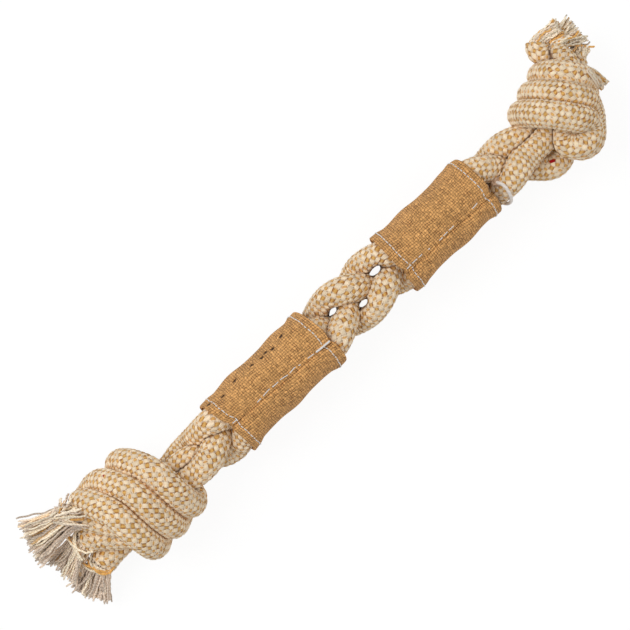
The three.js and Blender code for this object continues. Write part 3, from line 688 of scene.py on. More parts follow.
def make_object(name, points, faces, uv_name, uvs, tint=None):
    """An object from points, faces given as arrays of point numbers and a UV for each corner. Its quads
    are smooth, and the triangles of its end caps are flat."""
    mesh = bpy.data.meshes.new(name)
    corners = np.concatenate([face.ravel() for face in faces]).astype(np.int32)
    totals = np.concatenate([np.full(len(face), face.shape[1]) for face in faces])
    starts = np.concatenate([[0], np.cumsum(totals)[:-1]]).astype(np.int32)
    mesh.vertices.add(len(points))
    mesh.loops.add(len(corners))
    mesh.polygons.add(len(totals))
    mesh.vertices.foreach_set("co", np.ascontiguousarray(points, np.float32).ravel())
    mesh.loops.foreach_set("vertex_index", corners)
    mesh.polygons.foreach_set("loop_start", starts)
    mesh.update(calc_edges=True)
    layer = mesh.uv_layers.new(name=uv_name)
    layer.data.foreach_set("uv", np.concatenate([uv.reshape(-1, 2) for uv in uvs]).astype(np.float32).ravel())
    if tint is not None:
        attribute = mesh.attributes.new("tint", "FLOAT", "POINT")
        attribute.data.foreach_set("value", np.asarray(tint, np.float32))
    mesh.polygons.foreach_set("use_smooth", totals == 4)
    mesh.validate()
    made = bpy.data.objects.new(name, mesh)
    bpy.context.scene.collection.objects.link(made)
    return made


def grid_corners(rows, columns):
    """The row and the column of each corner of the quads that lie between the rows of a grid."""
    row, column = np.meshgrid(np.arange(rows - 1), np.arange(columns), indexing="ij")
    return row.reshape(-1, 1) + np.array([0, 0, 1, 1]), column.reshape(-1, 1) + np.array([0, 1, 1, 0])


def tube_faces(rows, columns):
    """Quads between the rings of a tube, with a fan over each end to the two points after the rings.
    Returns the faces and, in the same order, the ring and column of each corner."""
    ring, side = grid_corners(rows, columns)
    quads = ring * columns + side % columns
    near = np.arange(columns)
    after = (near + 1) % columns
    last = (rows - 1) * columns
    start = np.stack([np.full(columns, rows * columns), after, near], -1)
    end = np.stack([np.full(columns, rows * columns + 1), last + near, last + after], -1)
    fan_ring = np.vstack([np.zeros_like(start), np.full_like(end, rows - 1)])
    fan_side = np.vstack([np.stack([near, near + 1, near], -1), np.stack([near, near, near + 1], -1)])
    return [quads, np.vstack([start, end])], [ring, fan_ring], [side, fan_side]


def braid_heights(size, around, along):
    """Height of the braid over its mean: yarns of the two hands run at equal and opposite slopes, each
    rises over one and dips under the next by a cosine, and has a round back. The higher one shows."""
    first, second = around + along, around - along
    cell_a, cell_b = np.floor(first), np.floor(second)
    a, b = first - cell_a - 0.5, second - cell_b - 0.5
    over = 1 - 2 * np.mod(cell_a + cell_b, 2)
    cream_back = CREAM_RISE * np.sqrt(np.maximum(1 - (a / CREAM_HALF) ** 4, 0))
    tan_back = TAN_RISE * np.sqrt(np.maximum(1 - (b / TAN_HALF) ** 4, 0))
    cream = over * np.cos(math.pi * b) + cream_back + CREAM_LEAD
    tan = tan_back - over * np.cos(math.pi * a)
    return (np.maximum(cream, tan) - BRAID_MEAN) * size.relief


def rope_sheath(name, size, line, first, last, seen=True, open_end=None):
    """A stretch of rope: rings of the soft radius with the braid's height on top, square to the middle
    line, never below the floor. An open end flares a little where the yarns come out."""
    columns = size.yarns * (SEEN_COLUMNS if seen else HIDDEN_COLUMNS)
    step = SEEN_STEP if seen else HIDDEN_STEP
    indices = np.unique(np.append(np.arange(first, last, step), last))
    turns = np.linspace(0, TAU, columns, endpoint=False)
    radius = line.radii(indices, turns)
    # Painted shade: how far the rope is pressed in, kept at each point, so that the braid is painted in shade
    # where ropes press on each other
    crease_shade = smooth_share(size.diameter / 2 - radius, CREASE_FROM, CREASE_FULLY)
    along = line.braid_run[indices]
    radius = radius + braid_heights(size, size.yarns * turns[None] / TAU, along[:, None])
    if open_end is not None:
        inset = np.abs(indices - open_end) * PATH_STEP
        radius = radius * (1 + FLARE * np.exp(-((inset / FLARE_LENGTH) ** 2)))[:, None]
    out = round_about(line.normals[indices], line.across[indices], turns)
    rings = line.points[indices, None] + out * radius[..., None] + PLAIT_ORIGIN
    rings[..., 2] = np.maximum(rings[..., 2], LEAST_HEIGHT)
    points = np.vstack([rings.reshape(-1, 3), rings[0].mean(0), rings[-1].mean(0)])
    faces, ring, side = tube_faces(len(indices), columns)
    uvs = [np.stack([c / columns, along[r]], -1) for r, c in zip(ring, side)]
    return make_object(name, points, faces, "braid", uvs, np.append(crease_shade.ravel(), [1, 1]))


def yarn_tubes(name, curves, radii, tint, sides=6):
    """Many thin yarns in one mesh: each curve carries rings of its own radius, drawn in at the tip."""
    number, rows = curves.shape[:2]
    tangents = unit(np.gradient(curves, axis=1))
    aside = unit(np.cross(tangents, np.array([0.21, 0.13, 0.97])))
    above = np.cross(aside, tangents)
    turns = np.linspace(0, TAU, sides, endpoint=False)
    out = round_about(aside, above, turns)
    taper = np.ones(rows)
    taper[-1] = 0.75
    rings = curves[:, :, None] + out * (radii[:, None] * taper)[:, :, None, None]
    rings[..., 2] = np.maximum(rings[..., 2], LEAST_HEIGHT)
    ends = np.stack([rings[:, 0].mean(1), rings[:, -1].mean(1)], 1)
    points = np.concatenate([rings.reshape(number, -1, 3), ends], 1)
    faces, ring, side = tube_faces(rows, sides)
    shift = (np.arange(number) * points.shape[1])[:, None, None]
    runs = run_along(curves) / MM
    uvs = []
    for r, c in zip(ring, side):
        uvs.append(np.stack([np.broadcast_to(c / sides, (number, *c.shape)), runs[:, r]], -1))
    faces = [(face[None] + shift).reshape(-1, face.shape[1]) for face in faces]
    tints = np.repeat(tint, points.shape[1])
    return make_object(name, points.reshape(-1, 3), faces, "yarn", uvs, tints)


def smooth_share(value, low, high):
    """0 below low, 1 above high, and a smooth rise between."""
    share = np.clip((value - low) / (high - low), 0, 1)
    return share * share * (3 - 2 * share)


class Cloth:
    """The shape of one sleeve, as distances from the plait's axis."""

    def __init__(self, size, cut, side):
        self.size = size
        self.cut = cut
        self.side = side
        self.start, self.end = sleeve_span(size, side)
        self.girth = size.swing + size.diameter / 2 + cut.thickness
        self.lap = cut.lap / self.girth
        self.sweep = TAU + self.lap
        margin = cut.ease + STATION_MARGIN
        self.stations = np.arange(self.start - margin, self.end + margin, STATION_STEP)
        self.facings = np.linspace(0, TAU, HULL_FACINGS, endpoint=False)
        tight = self.support(rope_lines(size))
        reach = round(cut.ease / STATION_STEP)
        padded = np.pad(tight, ((reach, reach), (0, 0)), mode="edge")
        mean = sum(padded[k:k + len(tight)] for k in range(2 * reach + 1)) / (2 * reach + 1)
        self.hull = self.band(soften(np.maximum(mean, tight), 2.5, 1.0))

    def support(self, lines):
        """How far out the ropes reach from the axis at each station, in each direction round it."""
        radius = self.size.diameter / 2
        first, last = PLAIT_REACH
        points = np.vstack([line.points[line.at_x(first):line.at_x(last)] for line in lines])
        out = points[:, 1, None] * np.cos(self.facings) + points[:, 2, None] * np.sin(self.facings)
        furthest = np.empty((len(self.stations), len(self.facings)))
        for i, x in enumerate(self.stations):
            ahead = points[:, 0] - x
            near = np.abs(ahead) < radius
            furthest[i] = (out[near] + np.sqrt(radius**2 - ahead[near, None] ** 2)).max(0)
        return furthest

    def band(self, support):
        """Distances of a band pulled round the ropes: in each direction the least of support over cosine."""
        grid = np.linspace(0, TAU, HULL_SIDES, endpoint=False)
        facing = np.cos(grid[:, None] - self.facings[None])
        reach = np.where(facing > LEAST_FACING, 1 / np.maximum(facing, LEAST_FACING), np.inf)
        hull = np.stack([(support * reach[k]).min(1) for k in range(len(grid))], 1)
        return soften(hull, 1.0, 2.0)

    def share(self, x):
        """How far along the sleeve a place is, from 0 to 1."""
        return (x - self.start) / (self.end - self.start)

    def seam(self, x):
        """Angle of the seam round the plait."""
        if self.side == "left":
            return self.cut.left_seam + self.cut.left_seam_turn * self.share(x)
        return self.cut.right_seam + self.cut.right_seam_turn * self.share(x)

    def angles(self, x, turns):
        """Angles round the plait of turns counted from the hidden edge of the lap."""
        first = self.seam(x) + (self.cut.edge - self.cut.lap) / self.girth
        return first[:, None] + np.atleast_2d(turns)

    def aside(self, x, angles):
        """Distance round the cloth from the seam."""
        return (np.mod(angles - self.seam(x)[:, None] + math.pi, TAU) - math.pi) * self.girth

    def inside(self, x, angles):
        """Distance to the cloth's inner face: the band round the ropes where the cloth lies, drawn in
        along the seam."""
        moved = x[:, None] + self.shift(x, angles)
        row = (moved - self.stations[0]) / STATION_STEP
        hull = grid_value(self.hull, row, np.mod(angles, TAU) / TAU * HULL_SIDES)
        furrow = self.cut.furrow * np.exp(-((self.aside(x, angles) / FURROW_WIDTH) ** 2))
        return hull + self.cut.gap - furrow

    def layers(self, x):
        """One layer of cloth along most of a sleeve, and two at the hems."""
        inset = np.minimum(x - self.start, self.end - x)
        return 1 + smooth_share(-inset, -self.cut.hem - 3 * MM, -self.cut.hem + 2 * MM)

    def outside(self, x, turns):
        """Distance to the cloth's outer face, from the hidden edge of the lap to the upper one, which
        climbs over it."""
        turns = np.atleast_2d(turns)
        climb = LAP_CLIMB * smooth_share(turns, TAU - LAP_RAMP, TAU)
        dip = LAP_DIP * (1 - smooth_share(turns, self.lap, self.lap + DIP_RAMP))
        thick = self.cut.thickness * self.layers(x)[:, None]
        return self.inside(x, self.angles(x, turns)) + thick * (1 + climb - dip)

    def shift(self, x, angles):
        """How far the ends of the cloth are drawn along the plait: in at the seam, and at a slant."""
        share = self.share(x)[:, None]
        notch = self.cut.notch * np.exp(-((self.aside(x, angles) / NOTCH_WIDTH) ** 2))
        start, end = (
            (top - tilt * (1 - np.sin(angles)) + slant * np.cos(angles)) * MM
            for top, tilt, slant in SLEEVE_ENDS[self.side]
        )
        return (start + notch) * (1 - share) ** 3 + (end - notch) * share**3

    def over(self, x, directions):
        """Distance to the outermost face at each place and its own angle."""
        turns = np.mod(directions - self.angles(x, 0)[:, 0], TAU)
        turns = np.where(turns < self.lap, turns + TAU, turns)
        return self.outside(x, turns[:, None])[:, 0]

    def holes(self, x, angles):
        """1 in the old needle holes of the left sleeve, and 0 elsewhere."""
        found = np.zeros(np.broadcast_shapes((len(x), 1), angles.shape))
        if self.side == "left":
            for k, spot in enumerate(NEEDLE_HOLES):
                turn = NEEDLE_HOLE_TURN + NEEDLE_HOLE_STRAY * math.sin(2.3 * k)
                round_it = (np.mod(angles - turn + math.pi, TAU) - math.pi) * self.girth
                along = ((x[:, None] - self.start) / MM - spot) ** 2 / NEEDLE_HOLE_LONG
                away = along + (round_it / MM) ** 2 / NEEDLE_HOLE_WIDE
                found = np.maximum(found, smooth_share(np.exp(-away), 0.2, 0.6))
        return found


def round_axis(x, radius, turns):
    """Points at x, out from the plait's axis at an angle from +Y, in the toy's frame."""
    x, radius, turns = np.broadcast_arrays(x, radius, turns)
    return np.stack([x, radius * np.cos(turns), radius * np.sin(turns)], -1) + PLAIT_ORIGIN


def sleeve_sheet(name, cloth):
    """A sleeve: its rows run from one hem's raw edge, out over the fold, along the outside and back under
    the other fold; its columns run once round and over the lap."""
    cut = cloth.cut
    start, end = cloth.start, cloth.end
    thick = cut.thickness
    flap = np.linspace(cut.hem, thick, FLAP_ROWS)
    bend = np.linspace(0, math.pi, 9)[1:-1]
    main = np.arange(start + thick, end - thick, CLOTH_STEP)
    x = np.concatenate([
        start + flap, start + thick - thick * np.sin(bend), main,
        end - thick + thick * np.sin(bend), end - flap[::-1],
    ])
    depth = np.concatenate([
        np.full(FLAP_ROWS, 2.0), 1 + np.cos(bend), np.zeros(len(main)), 1 - np.cos(bend),
        np.full(FLAP_ROWS, 2.0),
    ])
    turns = np.linspace(0, cloth.sweep, CLOTH_COLUMNS)
    held = np.clip(x, start, end)
    angles = cloth.angles(held, turns)
    holes = cloth.holes(x, angles)
    radius = cloth.outside(held, turns) - (depth * thick)[:, None] - NEEDLE_HOLE_DEPTH * holes
    points = round_axis(x[:, None] + cloth.shift(held, angles), radius, angles)
    rows, columns = points.shape[:2]
    ring, side = grid_corners(rows, columns - 1)
    run = np.cumsum(np.hypot(np.diff(x, prepend=x[0]), np.diff(depth, prepend=depth[0]) * thick)) / MM
    across = turns * cloth.girth / MM
    uvs = [np.stack([run[ring], across[side]], -1)]
    faces = [ring * columns + side]
    made = make_object(name, points.reshape(-1, 3), faces, "cloth", uvs, holes.ravel())
    wall = made.modifiers.new("thickness", "SOLIDIFY")
    wall.thickness = WALL_SHARE * thick
    wall.offset = -1
    flat = (across[-1] * MM, run[-1] * MM)
    return made, flat


def thread_tube(name, points, radius, sides=6):
    """A thread: rings of one radius, square to its path."""
    tangents = unit(np.gradient(points, axis=0))
    start = (0, 0, 1) if abs(tangents[0, 2]) < 0.9 else (1, 0, 0)
    normals = carried_normals(tangents, start)
    across = np.cross(tangents, normals)
    turns = np.linspace(0, TAU, sides, endpoint=False)
    out = round_about(normals, across, turns)
    rings = points[:, None] + out * np.broadcast_to(radius, len(points))[:, None, None]
    ends = np.stack([rings[0].mean(0), rings[-1].mean(0)])
    faces, ring, side = tube_faces(len(points), sides)
    run = run_along(points) / MM
    uvs = [np.stack([c / sides, run[r]], -1) for r, c in zip(ring, side)]
    return make_object(name, np.vstack([rings.reshape(-1, 3), ends]), faces, "yarn", uvs)


# Materials


class Socket:
    """A value in a material. Arithmetic on it adds Math nodes."""

    def __init__(self, finish, socket):
        self.finish = finish
        self.socket = socket

    def math(self, operation, *others):
        """A Math node on this value and others."""
        return self.finish.node("ShaderNodeMath", {"operation": operation}, (self, *others))

    def __add__(self, other):
        return self.math("ADD", other)

    def __sub__(self, other):
        return self.math("SUBTRACT", other)

    def __rsub__(self, other):
        return self.finish.node("ShaderNodeMath", {"operation": "SUBTRACT"}, (other, self))

    def __mul__(self, other):
        return self.math("MULTIPLY", other)

    def __truediv__(self, other):
        return self.math("DIVIDE", other)

    __radd__ = __add__
    __rmul__ = __mul__

    def within(self):
        """The value held between 0 and 1."""
        return self.finish.node("ShaderNodeClamp", {}, (self, 0.0, 1.0))


class Finish:
    """One material: a Principled shader and the nodes that feed it."""

    def __init__(self, name, roughness, sheen=0.0, specular=0.3):
        self.material = bpy.data.materials.new(name)
        self.material.use_nodes = True
        self.tree = self.material.node_tree
        self.shader = self.tree.nodes["Principled BSDF"]
        self.shader.inputs["Roughness"].default_value = roughness
        self.shader.inputs["Sheen Weight"].default_value = sheen
        self.shader.inputs["Sheen Roughness"].default_value = 0.6
        self.shader.inputs["Specular IOR Level"].default_value = specular

    def node(self, kind, settings, inputs, outputs=0):
        """A node of one type, its settings set first, then its inputs, given by place or name."""
        made = self.tree.nodes.new(kind)
        for key, value in settings.items():
            if key == "stops":
                for stop, (place, shade) in zip(self.stops(made, len(value)), value):
                    stop.position, stop.color = place, (*shade, 1)
            else:
                setattr(made, key, value)
        for key, value in (inputs.items() if isinstance(inputs, dict) else enumerate(inputs)):
            if isinstance(value, Socket):
                self.tree.links.new(value.socket, made.inputs[key])
            else:
                made.inputs[key].default_value = value
        if isinstance(outputs, tuple):
            return [Socket(self, made.outputs[key]) for key in outputs]
        return Socket(self, made.outputs[outputs])

    def stops(self, ramp, number):
        """The stops of a colour ramp, as many as are asked for."""
        elements = ramp.color_ramp.elements
        while len(elements) < number:
            elements.new(1)
        return elements

    def tint(self):
        """The value kept at each point of the mesh."""
        return self.node("ShaderNodeAttribute", {"attribute_name": "tint"}, (), 2)

    def coordinates(self, layer):
        """The two values of a UV map."""
        place = self.node("ShaderNodeUVMap", {"uv_map": layer}, ())
        return self.node("ShaderNodeSeparateXYZ", {}, (place,), (0, 1))

    def mix(self, share, first, second):
        """Between two colours."""
        first = first if isinstance(first, Socket) else (*first, 1)
        second = second if isinstance(second, Socket) else (*second, 1)
        return self.node("ShaderNodeMix", {"data_type": "RGBA"}, {0: share, 6: first, 7: second}, 2)

    def shade(self, base, value):
        """A colour made darker or lighter by a value."""
        return self.node(
            "ShaderNodeMix", {"data_type": "RGBA", "blend_type": "MULTIPLY"}, {0: 1.0, 6: base, 7: value}, 2,
        )

    def random(self, first, second):
        """A random value for each pair of whole numbers."""
        place = self.node("ShaderNodeCombineXYZ", {}, (first, second, 0.0))
        return self.node("ShaderNodeTexWhiteNoise", {"noise_dimensions": "3D"}, {0: place}, 0)

    def noise(self, scale, detail=3.0, vector=None):
        """A smooth random value over the piece's own coordinates."""
        if vector is None:
            vector = self.node("ShaderNodeTexCoord", {}, (), 3)
        return self.node(
            "ShaderNodeTexNoise", {}, {"Vector": vector, "Scale": scale, "Detail": detail}, 0,
        )

    def finish(self, base, height=None, distance=0.0, strength=1.0):
        """Puts the colour and the relief on the shader."""
        self.tree.links.new(base.socket, self.shader.inputs["Base Color"])
        if height is not None:
            bump = self.node(
                "ShaderNodeBump", {}, {"Strength": strength, "Distance": distance, "Height": height}, 0,
            )
            self.tree.links.new(bump.socket, self.shader.inputs["Normal"])
        return self.material


def cell_parts(value):
    """The whole number below a value, and how far the value is from the middle of its cell."""
    whole = value.math("FLOOR")
    return whole, value - whole - 0.5


def dome(value, half):
    """The flattened back of a yarn: the root of one less the fourth power of the place across it."""
    return (1 - (value / half).math("POWER", 4.0)).math("MAXIMUM", 0.0).math("SQRT")


def rope_finish(size):
    """Braided rope: cream yarns of one hand over and under tan yarns of the other, each of a few plies, with
    painted shade where they go down between the others, in the corners between them and where the ropes press
    on each other."""
    made = Finish("braided rope", 0.85, 0.15, 0.2)
    around, along = made.coordinates("braid")
    crease_shade = made.tint()
    wobble = (made.noise(150.0, 2.0) - 0.5) * 0.7
    sway = (made.noise(260.0, 2.0) - 0.5) * 0.8 + around * size.yarns
    first, second = sway + along + wobble, sway - along - wobble
    cell_a, a = cell_parts(first)
    cell_b, b = cell_parts(second)
    over = 1 - 2 * (cell_a + cell_b).math("FLOORED_MODULO", 2.0)
    pick = made.random(cell_a + over * 3.7, cell_b)
    odd = made.random(cell_a - 11.3, cell_b + over * 2.9)
    off_a, off_b = a.math("ABSOLUTE"), b.math("ABSOLUTE")
    cream = over * (b * math.pi).math("COSINE") + CREAM_RISE * dome(off_a, CREAM_HALF) + 0.45 + 0.9 * odd
    tan = TAN_RISE * dome(off_b, TAN_HALF) - over * (a * math.pi).math("COSINE")
    lead = cream - tan
    is_cream = (lead * 1.8 + 0.5).within()
    is_tan = 1 - is_cream
    cream_plies = ((a * 3.0 + b * 0.4) * TAU).math("COSINE")
    tan_plies = ((b * 3.0 - a * 0.4) * TAU).math("COSINE")
    plies = cream_plies * is_cream + tan_plies * is_tan
    # Painted shade where a yarn goes down under the next and where two yarns meet
    dive_shade = ((off_a - 0.1) * 3.4).within() * is_tan * (0.35 + 0.65 * pick)
    dive_shade = dive_shade + ((off_b - 0.34) * 5.0).within() * is_cream * 0.3
    rim_shade = (1 - lead.math("ABSOLUTE") * 1.5).within()
    patches = made.noise(55.0, 2.0)
    fibre = made.noise(2600.0, 3.0)
    base = made.mix(is_cream, tuple(size.tan), tuple(size.cream))
    base = made.mix((dive_shade + 0.28 * rim_shade).within(), base, tuple(size.crevice_shade))
    # Painted shade in the corners between the yarns and where the ropes press on each other
    corner = ((off_a + off_b - 0.7) * 4.0).within()
    base = made.mix((corner * (0.25 + 0.75 * pick * pick) + 0.68 * crease_shade).within(), base, tuple(size.gap))
    # A random tone for each yarn, in patches and in fibres, and painted shade along the grooves between the
    # plies
    light = 0.975 + 0.28 * odd + 0.07 * plies + 0.16 * (patches - 0.5) + 0.26 * (fibre - 0.5)
    height = cream.math("MAXIMUM", tan) * 0.4 + plies * 0.16 + fibre * 0.3
    return made.finish(made.shade(base, light), height, 0.75 * MM, 0.75)


def yarn_finish(yarn):
    """Loose yarn: undyed grey-beige, with some cream and tan, two plies twisted round each other."""
    made = Finish("loose yarn", 0.9, 0.15, 0.15)
    around, along = made.coordinates("yarn")
    tint = made.tint()
    grey, cream, tan = tuple(yarn.grey), tuple(yarn.cream), tuple(yarn.tan)
    stops = ((0.0, grey), (0.55, grey), (0.8, cream), (0.88, cream), (0.91, tan), (1.0, tan))
    base = made.node("ShaderNodeValToRGB", {"stops": stops}, (tint,))
    twist = ((around * 2 + along * 0.55) * TAU).math("COSINE")
    shadow = made.noise(160.0, 2.0)
    # Painted shade in the grooves between the two plies and in soft random patches
    light = 0.52 + 0.1 * twist + 0.6 * (tint * 37.0).math("FRACT") + 0.2 * (shadow - 0.5) + 0.34 * tint
    return made.finish(made.shade(base, light), twist, 0.2 * MM, 0.7)


def jute_finish(cut):
    """Jute canvas: a plain weave of uneven yarns, with painted shade in the gaps between them and inside the
    old needle holes.
    """
    made = Finish("jute cloth", 0.92, 0.1, 0.15)
    along, around = made.coordinates("cloth")
    hole = made.tint()
    wobble = made.noise(190.0, 3.0) * 1.5 - 0.75
    waver = made.noise(330.0, 3.0) * 1.3 - 0.65
    warp, a = cell_parts(around / (cut.weave / MM) + wobble)
    weft, b = cell_parts(along / (cut.weave / MM) - waver)
    over = 1 - 2 * (warp + weft).math("FLOORED_MODULO", 2.0)
    upper = over * (b * math.pi).math("COSINE") + 1.6 * dome(a.math("ABSOLUTE"), 0.58)
    lower = 1.6 * dome(b.math("ABSOLUTE"), 0.58) - over * (a * math.pi).math("COSINE")
    top = upper.math("MAXIMUM", lower)
    is_warp = ((upper - lower) * 3 + 0.5).within()
    odd = made.random(warp * 1.7, weft * 2.3)
    # Painted shade: where the weave lies low, in the gaps between the yarns, its colour is drawn towards a
    # deep brown
    deep = ((top - 0.66 - 0.9 * odd * odd) / 1.2).within()
    tone = made.random(warp, 3.0) * is_warp + made.random(7.0, weft) * (1 - is_warp)
    pick = made.random(warp, weft)
    patches = made.noise(60.0, 3.0)
    fibre = made.noise(1300.0, 3.0)
    base = made.mix(0.9 * (1 - deep), tuple(cut.jute), tuple(cut.jute_gap_shade))
    light = 0.77 + 0.22 * tone + 0.44 * pick + 0.16 * (patches - 0.5) + 1.3 * (fibre - 0.5)
    # Painted shade inside the old needle holes
    base = made.mix(hole.within(), made.shade(base, light), tuple(cut.hole))
    return made.finish(base, top + 0.4 * fibre, 0.6 * MM, 0.9)


def twisted_finish(name, shade, turns):
    """A twisted thread or cord: fine slanting grooves between its plies, with a little painted shade in them.
    """
    made = Finish(name, 0.7, 0.1, 0.3)
    around, along = made.coordinates("yarn")
    groove = ((around * 2 + along * turns) * TAU).math("COSINE")
    groove_shade = tuple(0.86 * part for part in shade)
    return made.finish(made.mix(groove * 0.5 + 0.5, groove_shade, tuple(shade)), groove, 0.12 * MM, 0.6)


def plain_finish(name, shade, roughness):
    """One colour."""
    made = Finish(name, roughness)
    made.shader.inputs["Base Color"].default_value = (*shade, 1)
    return made.material


def floor_finish(stage):
    """A white floor: mostly its own white to the camera, so that it stays pale under the soft shadows."""
    made = Finish("pale floor", 0.9, 0.0, 0.0)
    made.shader.inputs["Base Color"].default_value = (*stage.floor, 1)
    glow = made.node("ShaderNodeEmission", {}, {"Color": (1, 1, 1, 1), "Strength": FLOOR_GLOW})
    rays = ("Is Camera Ray", "Is Glossy Ray", "Is Transmission Ray")
    seen, glossy, through = made.node("ShaderNodeLightPath", {}, (), rays)
    surface = Socket(made, made.shader.outputs[0])
    share = seen.math("MAXIMUM", glossy).math("MAXIMUM", through) * FLOOR_GLOW_SHARE
    mixed = made.node("ShaderNodeMixShader", {}, (share, surface, glow))
    made.tree.links.new(mixed.socket, made.tree.nodes["Material Output"].inputs[0])
    return made.material


_finishes = {}


def put_finish(made, key, build):
    """Gives a piece a material, building it the first time."""
    if key not in _finishes:
        _finishes[key] = build()
    made.data.materials.append(_finishes[key])


def dress(made, key, build, nodes, body=None):
    """Gives a piece its material, hides the imported parts that it stands for and hangs it on the body that
    it rides on, if one is given; a piece where the toy bends between two is given none."""
    put_finish(made, key, build)
    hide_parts(*nodes)
    if body is not None:
        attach(made, body)


# Operators


def rope_piece(size, name, line, span, node, body=None, **how):
    """One stretch of rope, dressed."""
    made = rope_sheath(name, size, line, *span, **how)
    dress(made, "rope", lambda: rope_finish(size), [node], body)
    return made


CUT_MARGIN = 8 * MM  # a bending stretch of rope reaches this far past the bend, so its ends don't shear


def fray_start(line, side):
    """The point at which a rope's end comes undone."""
    back = round(KNOTS[side]["undone"][line.places[side]] * MM / PATH_STEP)
    return line.tails[side] + (back if side == "left" else -back)


class TOY_OT_knot_ropes(bpy.types.Operator):
    """The ropes of both knots, from the necks to their frayed tails"""

    bl_idname = "toy.knot_ropes"
    bl_label = "Knot ropes"

    def execute(self, context):
        size = context.scene.toy_ropes
        reach = size.flex + CUT_MARGIN
        for line in rope_lines(size):
            name = f"rope_{line.rope + 1}"
            for side in SIDES:
                start, end = sleeve_span(size, side)
                cut = fray_start(line, side)
                span = (cut, line.at_x(start - reach)) if side == "left" else (line.at_x(end + reach), cut)
                node = f"{name}_{side}_knot"
                rope_piece(size, f"{side}_knot_{name}", line, span, node, f"{side}_end", open_end=cut)
        return {"FINISHED"}


class TOY_OT_plait_ropes(bpy.types.Operator):
    """The ropes of the plait: the necks and the middle, where the toy bends, which hang on no body, and the
    stretches in the sleeves
    """

    bl_idname = "toy.plait_ropes"
    bl_label = "Plait ropes"

    def execute(self, context):
        size = context.scene.toy_ropes
        left, right = sleeve_span(size, "left"), sleeve_span(size, "right")

        def spot(x):
            return tuple(PLAIT_ORIGIN + np.array([x, 0, 0]))

        bends = (
            ("left_neck", left[0] - size.flex, left[0], "left_end", "left_grip"),
            ("middle", left[1], right[0], "left_grip", "right_grip"),
            ("right_neck", right[1], right[1] + size.flex, "right_grip", "right_end"),
        )
        for line in rope_lines(size):
            name = f"rope_{line.rope + 1}"
            for part, start, end, before, after in bends:
                span = (line.at_x(start - CUT_MARGIN), line.at_x(end + CUT_MARGIN))
                made = rope_piece(size, f"{part}_{name}", line, span, f"{name}_{part}")
                spot(start)
                spot(end)
                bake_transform(made)
            for side, (start, end) in (("left", left), ("right", right)):
                span = (line.at_x(start + CUT_MARGIN), line.at_x(end - CUT_MARGIN))
                node = f"{name}_{side}_grip"
                rope_piece(size, f"{side}_grip_{name}", line, span, node, f"{side}_grip", seen=False)
        return {"FINISHED"}


TUFT_WAIST = (-193.5, 26, 14)  # where the upper left tail's yarns part, in millimetres
SIDE_FRINGE = (170.5, 4, 2)  # by way of which the last right tail's yarns lie beside the knot
YARN_POINTS = 26
YARN_DISC = 6.8 * MM  # in which the yarns leave a rope's end
YARN_INSET = 1.5 * MM  # how far inside a rope's end they start
STRAY_SHARE, STRAY_FAR, STRAY_NEAR = 0.2, 0.22, 0.1  # of the yarns, and how far those and the others stray
CUT_SLANT = 0.45  # how much further a yarn reaches for each millimetre that it lies lower
FURTHEST = 1.07  # share of the way to the tip past which no yarn reaches
SECOND_SPREAD = 4.5 * MM
# Lowest and highest shade of the yarns, from grey over cream to tan
SHADES = {
    "left": (0, 0.93), "right": (0.6, 0.96), "turned": (0.4, 0.95), "curled": (0.8, 1), "second": (0.6, 1),
}
# Lowest and highest of a yarn's wave, as a share of the most, of its crimp in millimetres, of the turns
# of both, and of how far it stays above the floor, in millimetres
WAVE_SIZE, WAVE_TURNS = (0.2, 1.0), (0.7, 2.0)
CRIMP_SIZE, CRIMP_TURNS = (0.1, 0.3), (3.5, 5.5)
YARN_LIES = (0.5, 2.5)
# Lowest and highest angle of the yarns that turn back, in radians, their reach and their height over the
# ropes, in millimetres
TUFT_TURN, TUFT_REACH, TUFT_LIES = (-1.15, 0.95), (6, 18), (0.5, 1.6)


def bowed(start, first, second, end):
    """Cubic curves between ends, led by two points each."""
    t = np.linspace(0, 1, YARN_POINTS)[None, :, None]
    return (
        start[:, None] * (1 - t) ** 3 + 3 * first[:, None] * t * (1 - t) ** 2
        + 3 * second[:, None] * t**2 * (1 - t) + end[:, None] * t**3
    )


def waved(random, curves, aside, above, most):
    """Curves with a slow wave that grows along them and a fine crimp left by the braid."""
    number = len(curves)
    t = np.linspace(0, 1, YARN_POINTS)[None, :, None]
    each = (number, 1, 1)
    size = random.uniform(*WAVE_SIZE, each) * most * t
    speed = random.uniform(*WAVE_TURNS, each) * TAU
    begin = random.uniform(0, TAU, each)
    crimp = random.uniform(*CRIMP_SIZE, each) * MM
    fine = random.uniform(*CRIMP_TURNS, each) * TAU
    first = size * (np.sin(speed * t + begin) - np.sin(begin)) + crimp * np.sin(fine * t + begin)
    second = size * (np.cos(speed * t * 0.8 + begin) - np.cos(begin)) + crimp * np.cos(fine * t + begin)
    made = curves + first * aside + second * above
    least = -PLAIT_ORIGIN[2] + random.uniform(*YARN_LIES, (number, 1)) * MM
    made[..., 2] = np.maximum(made[..., 2], least)
    return made + PLAIT_ORIGIN


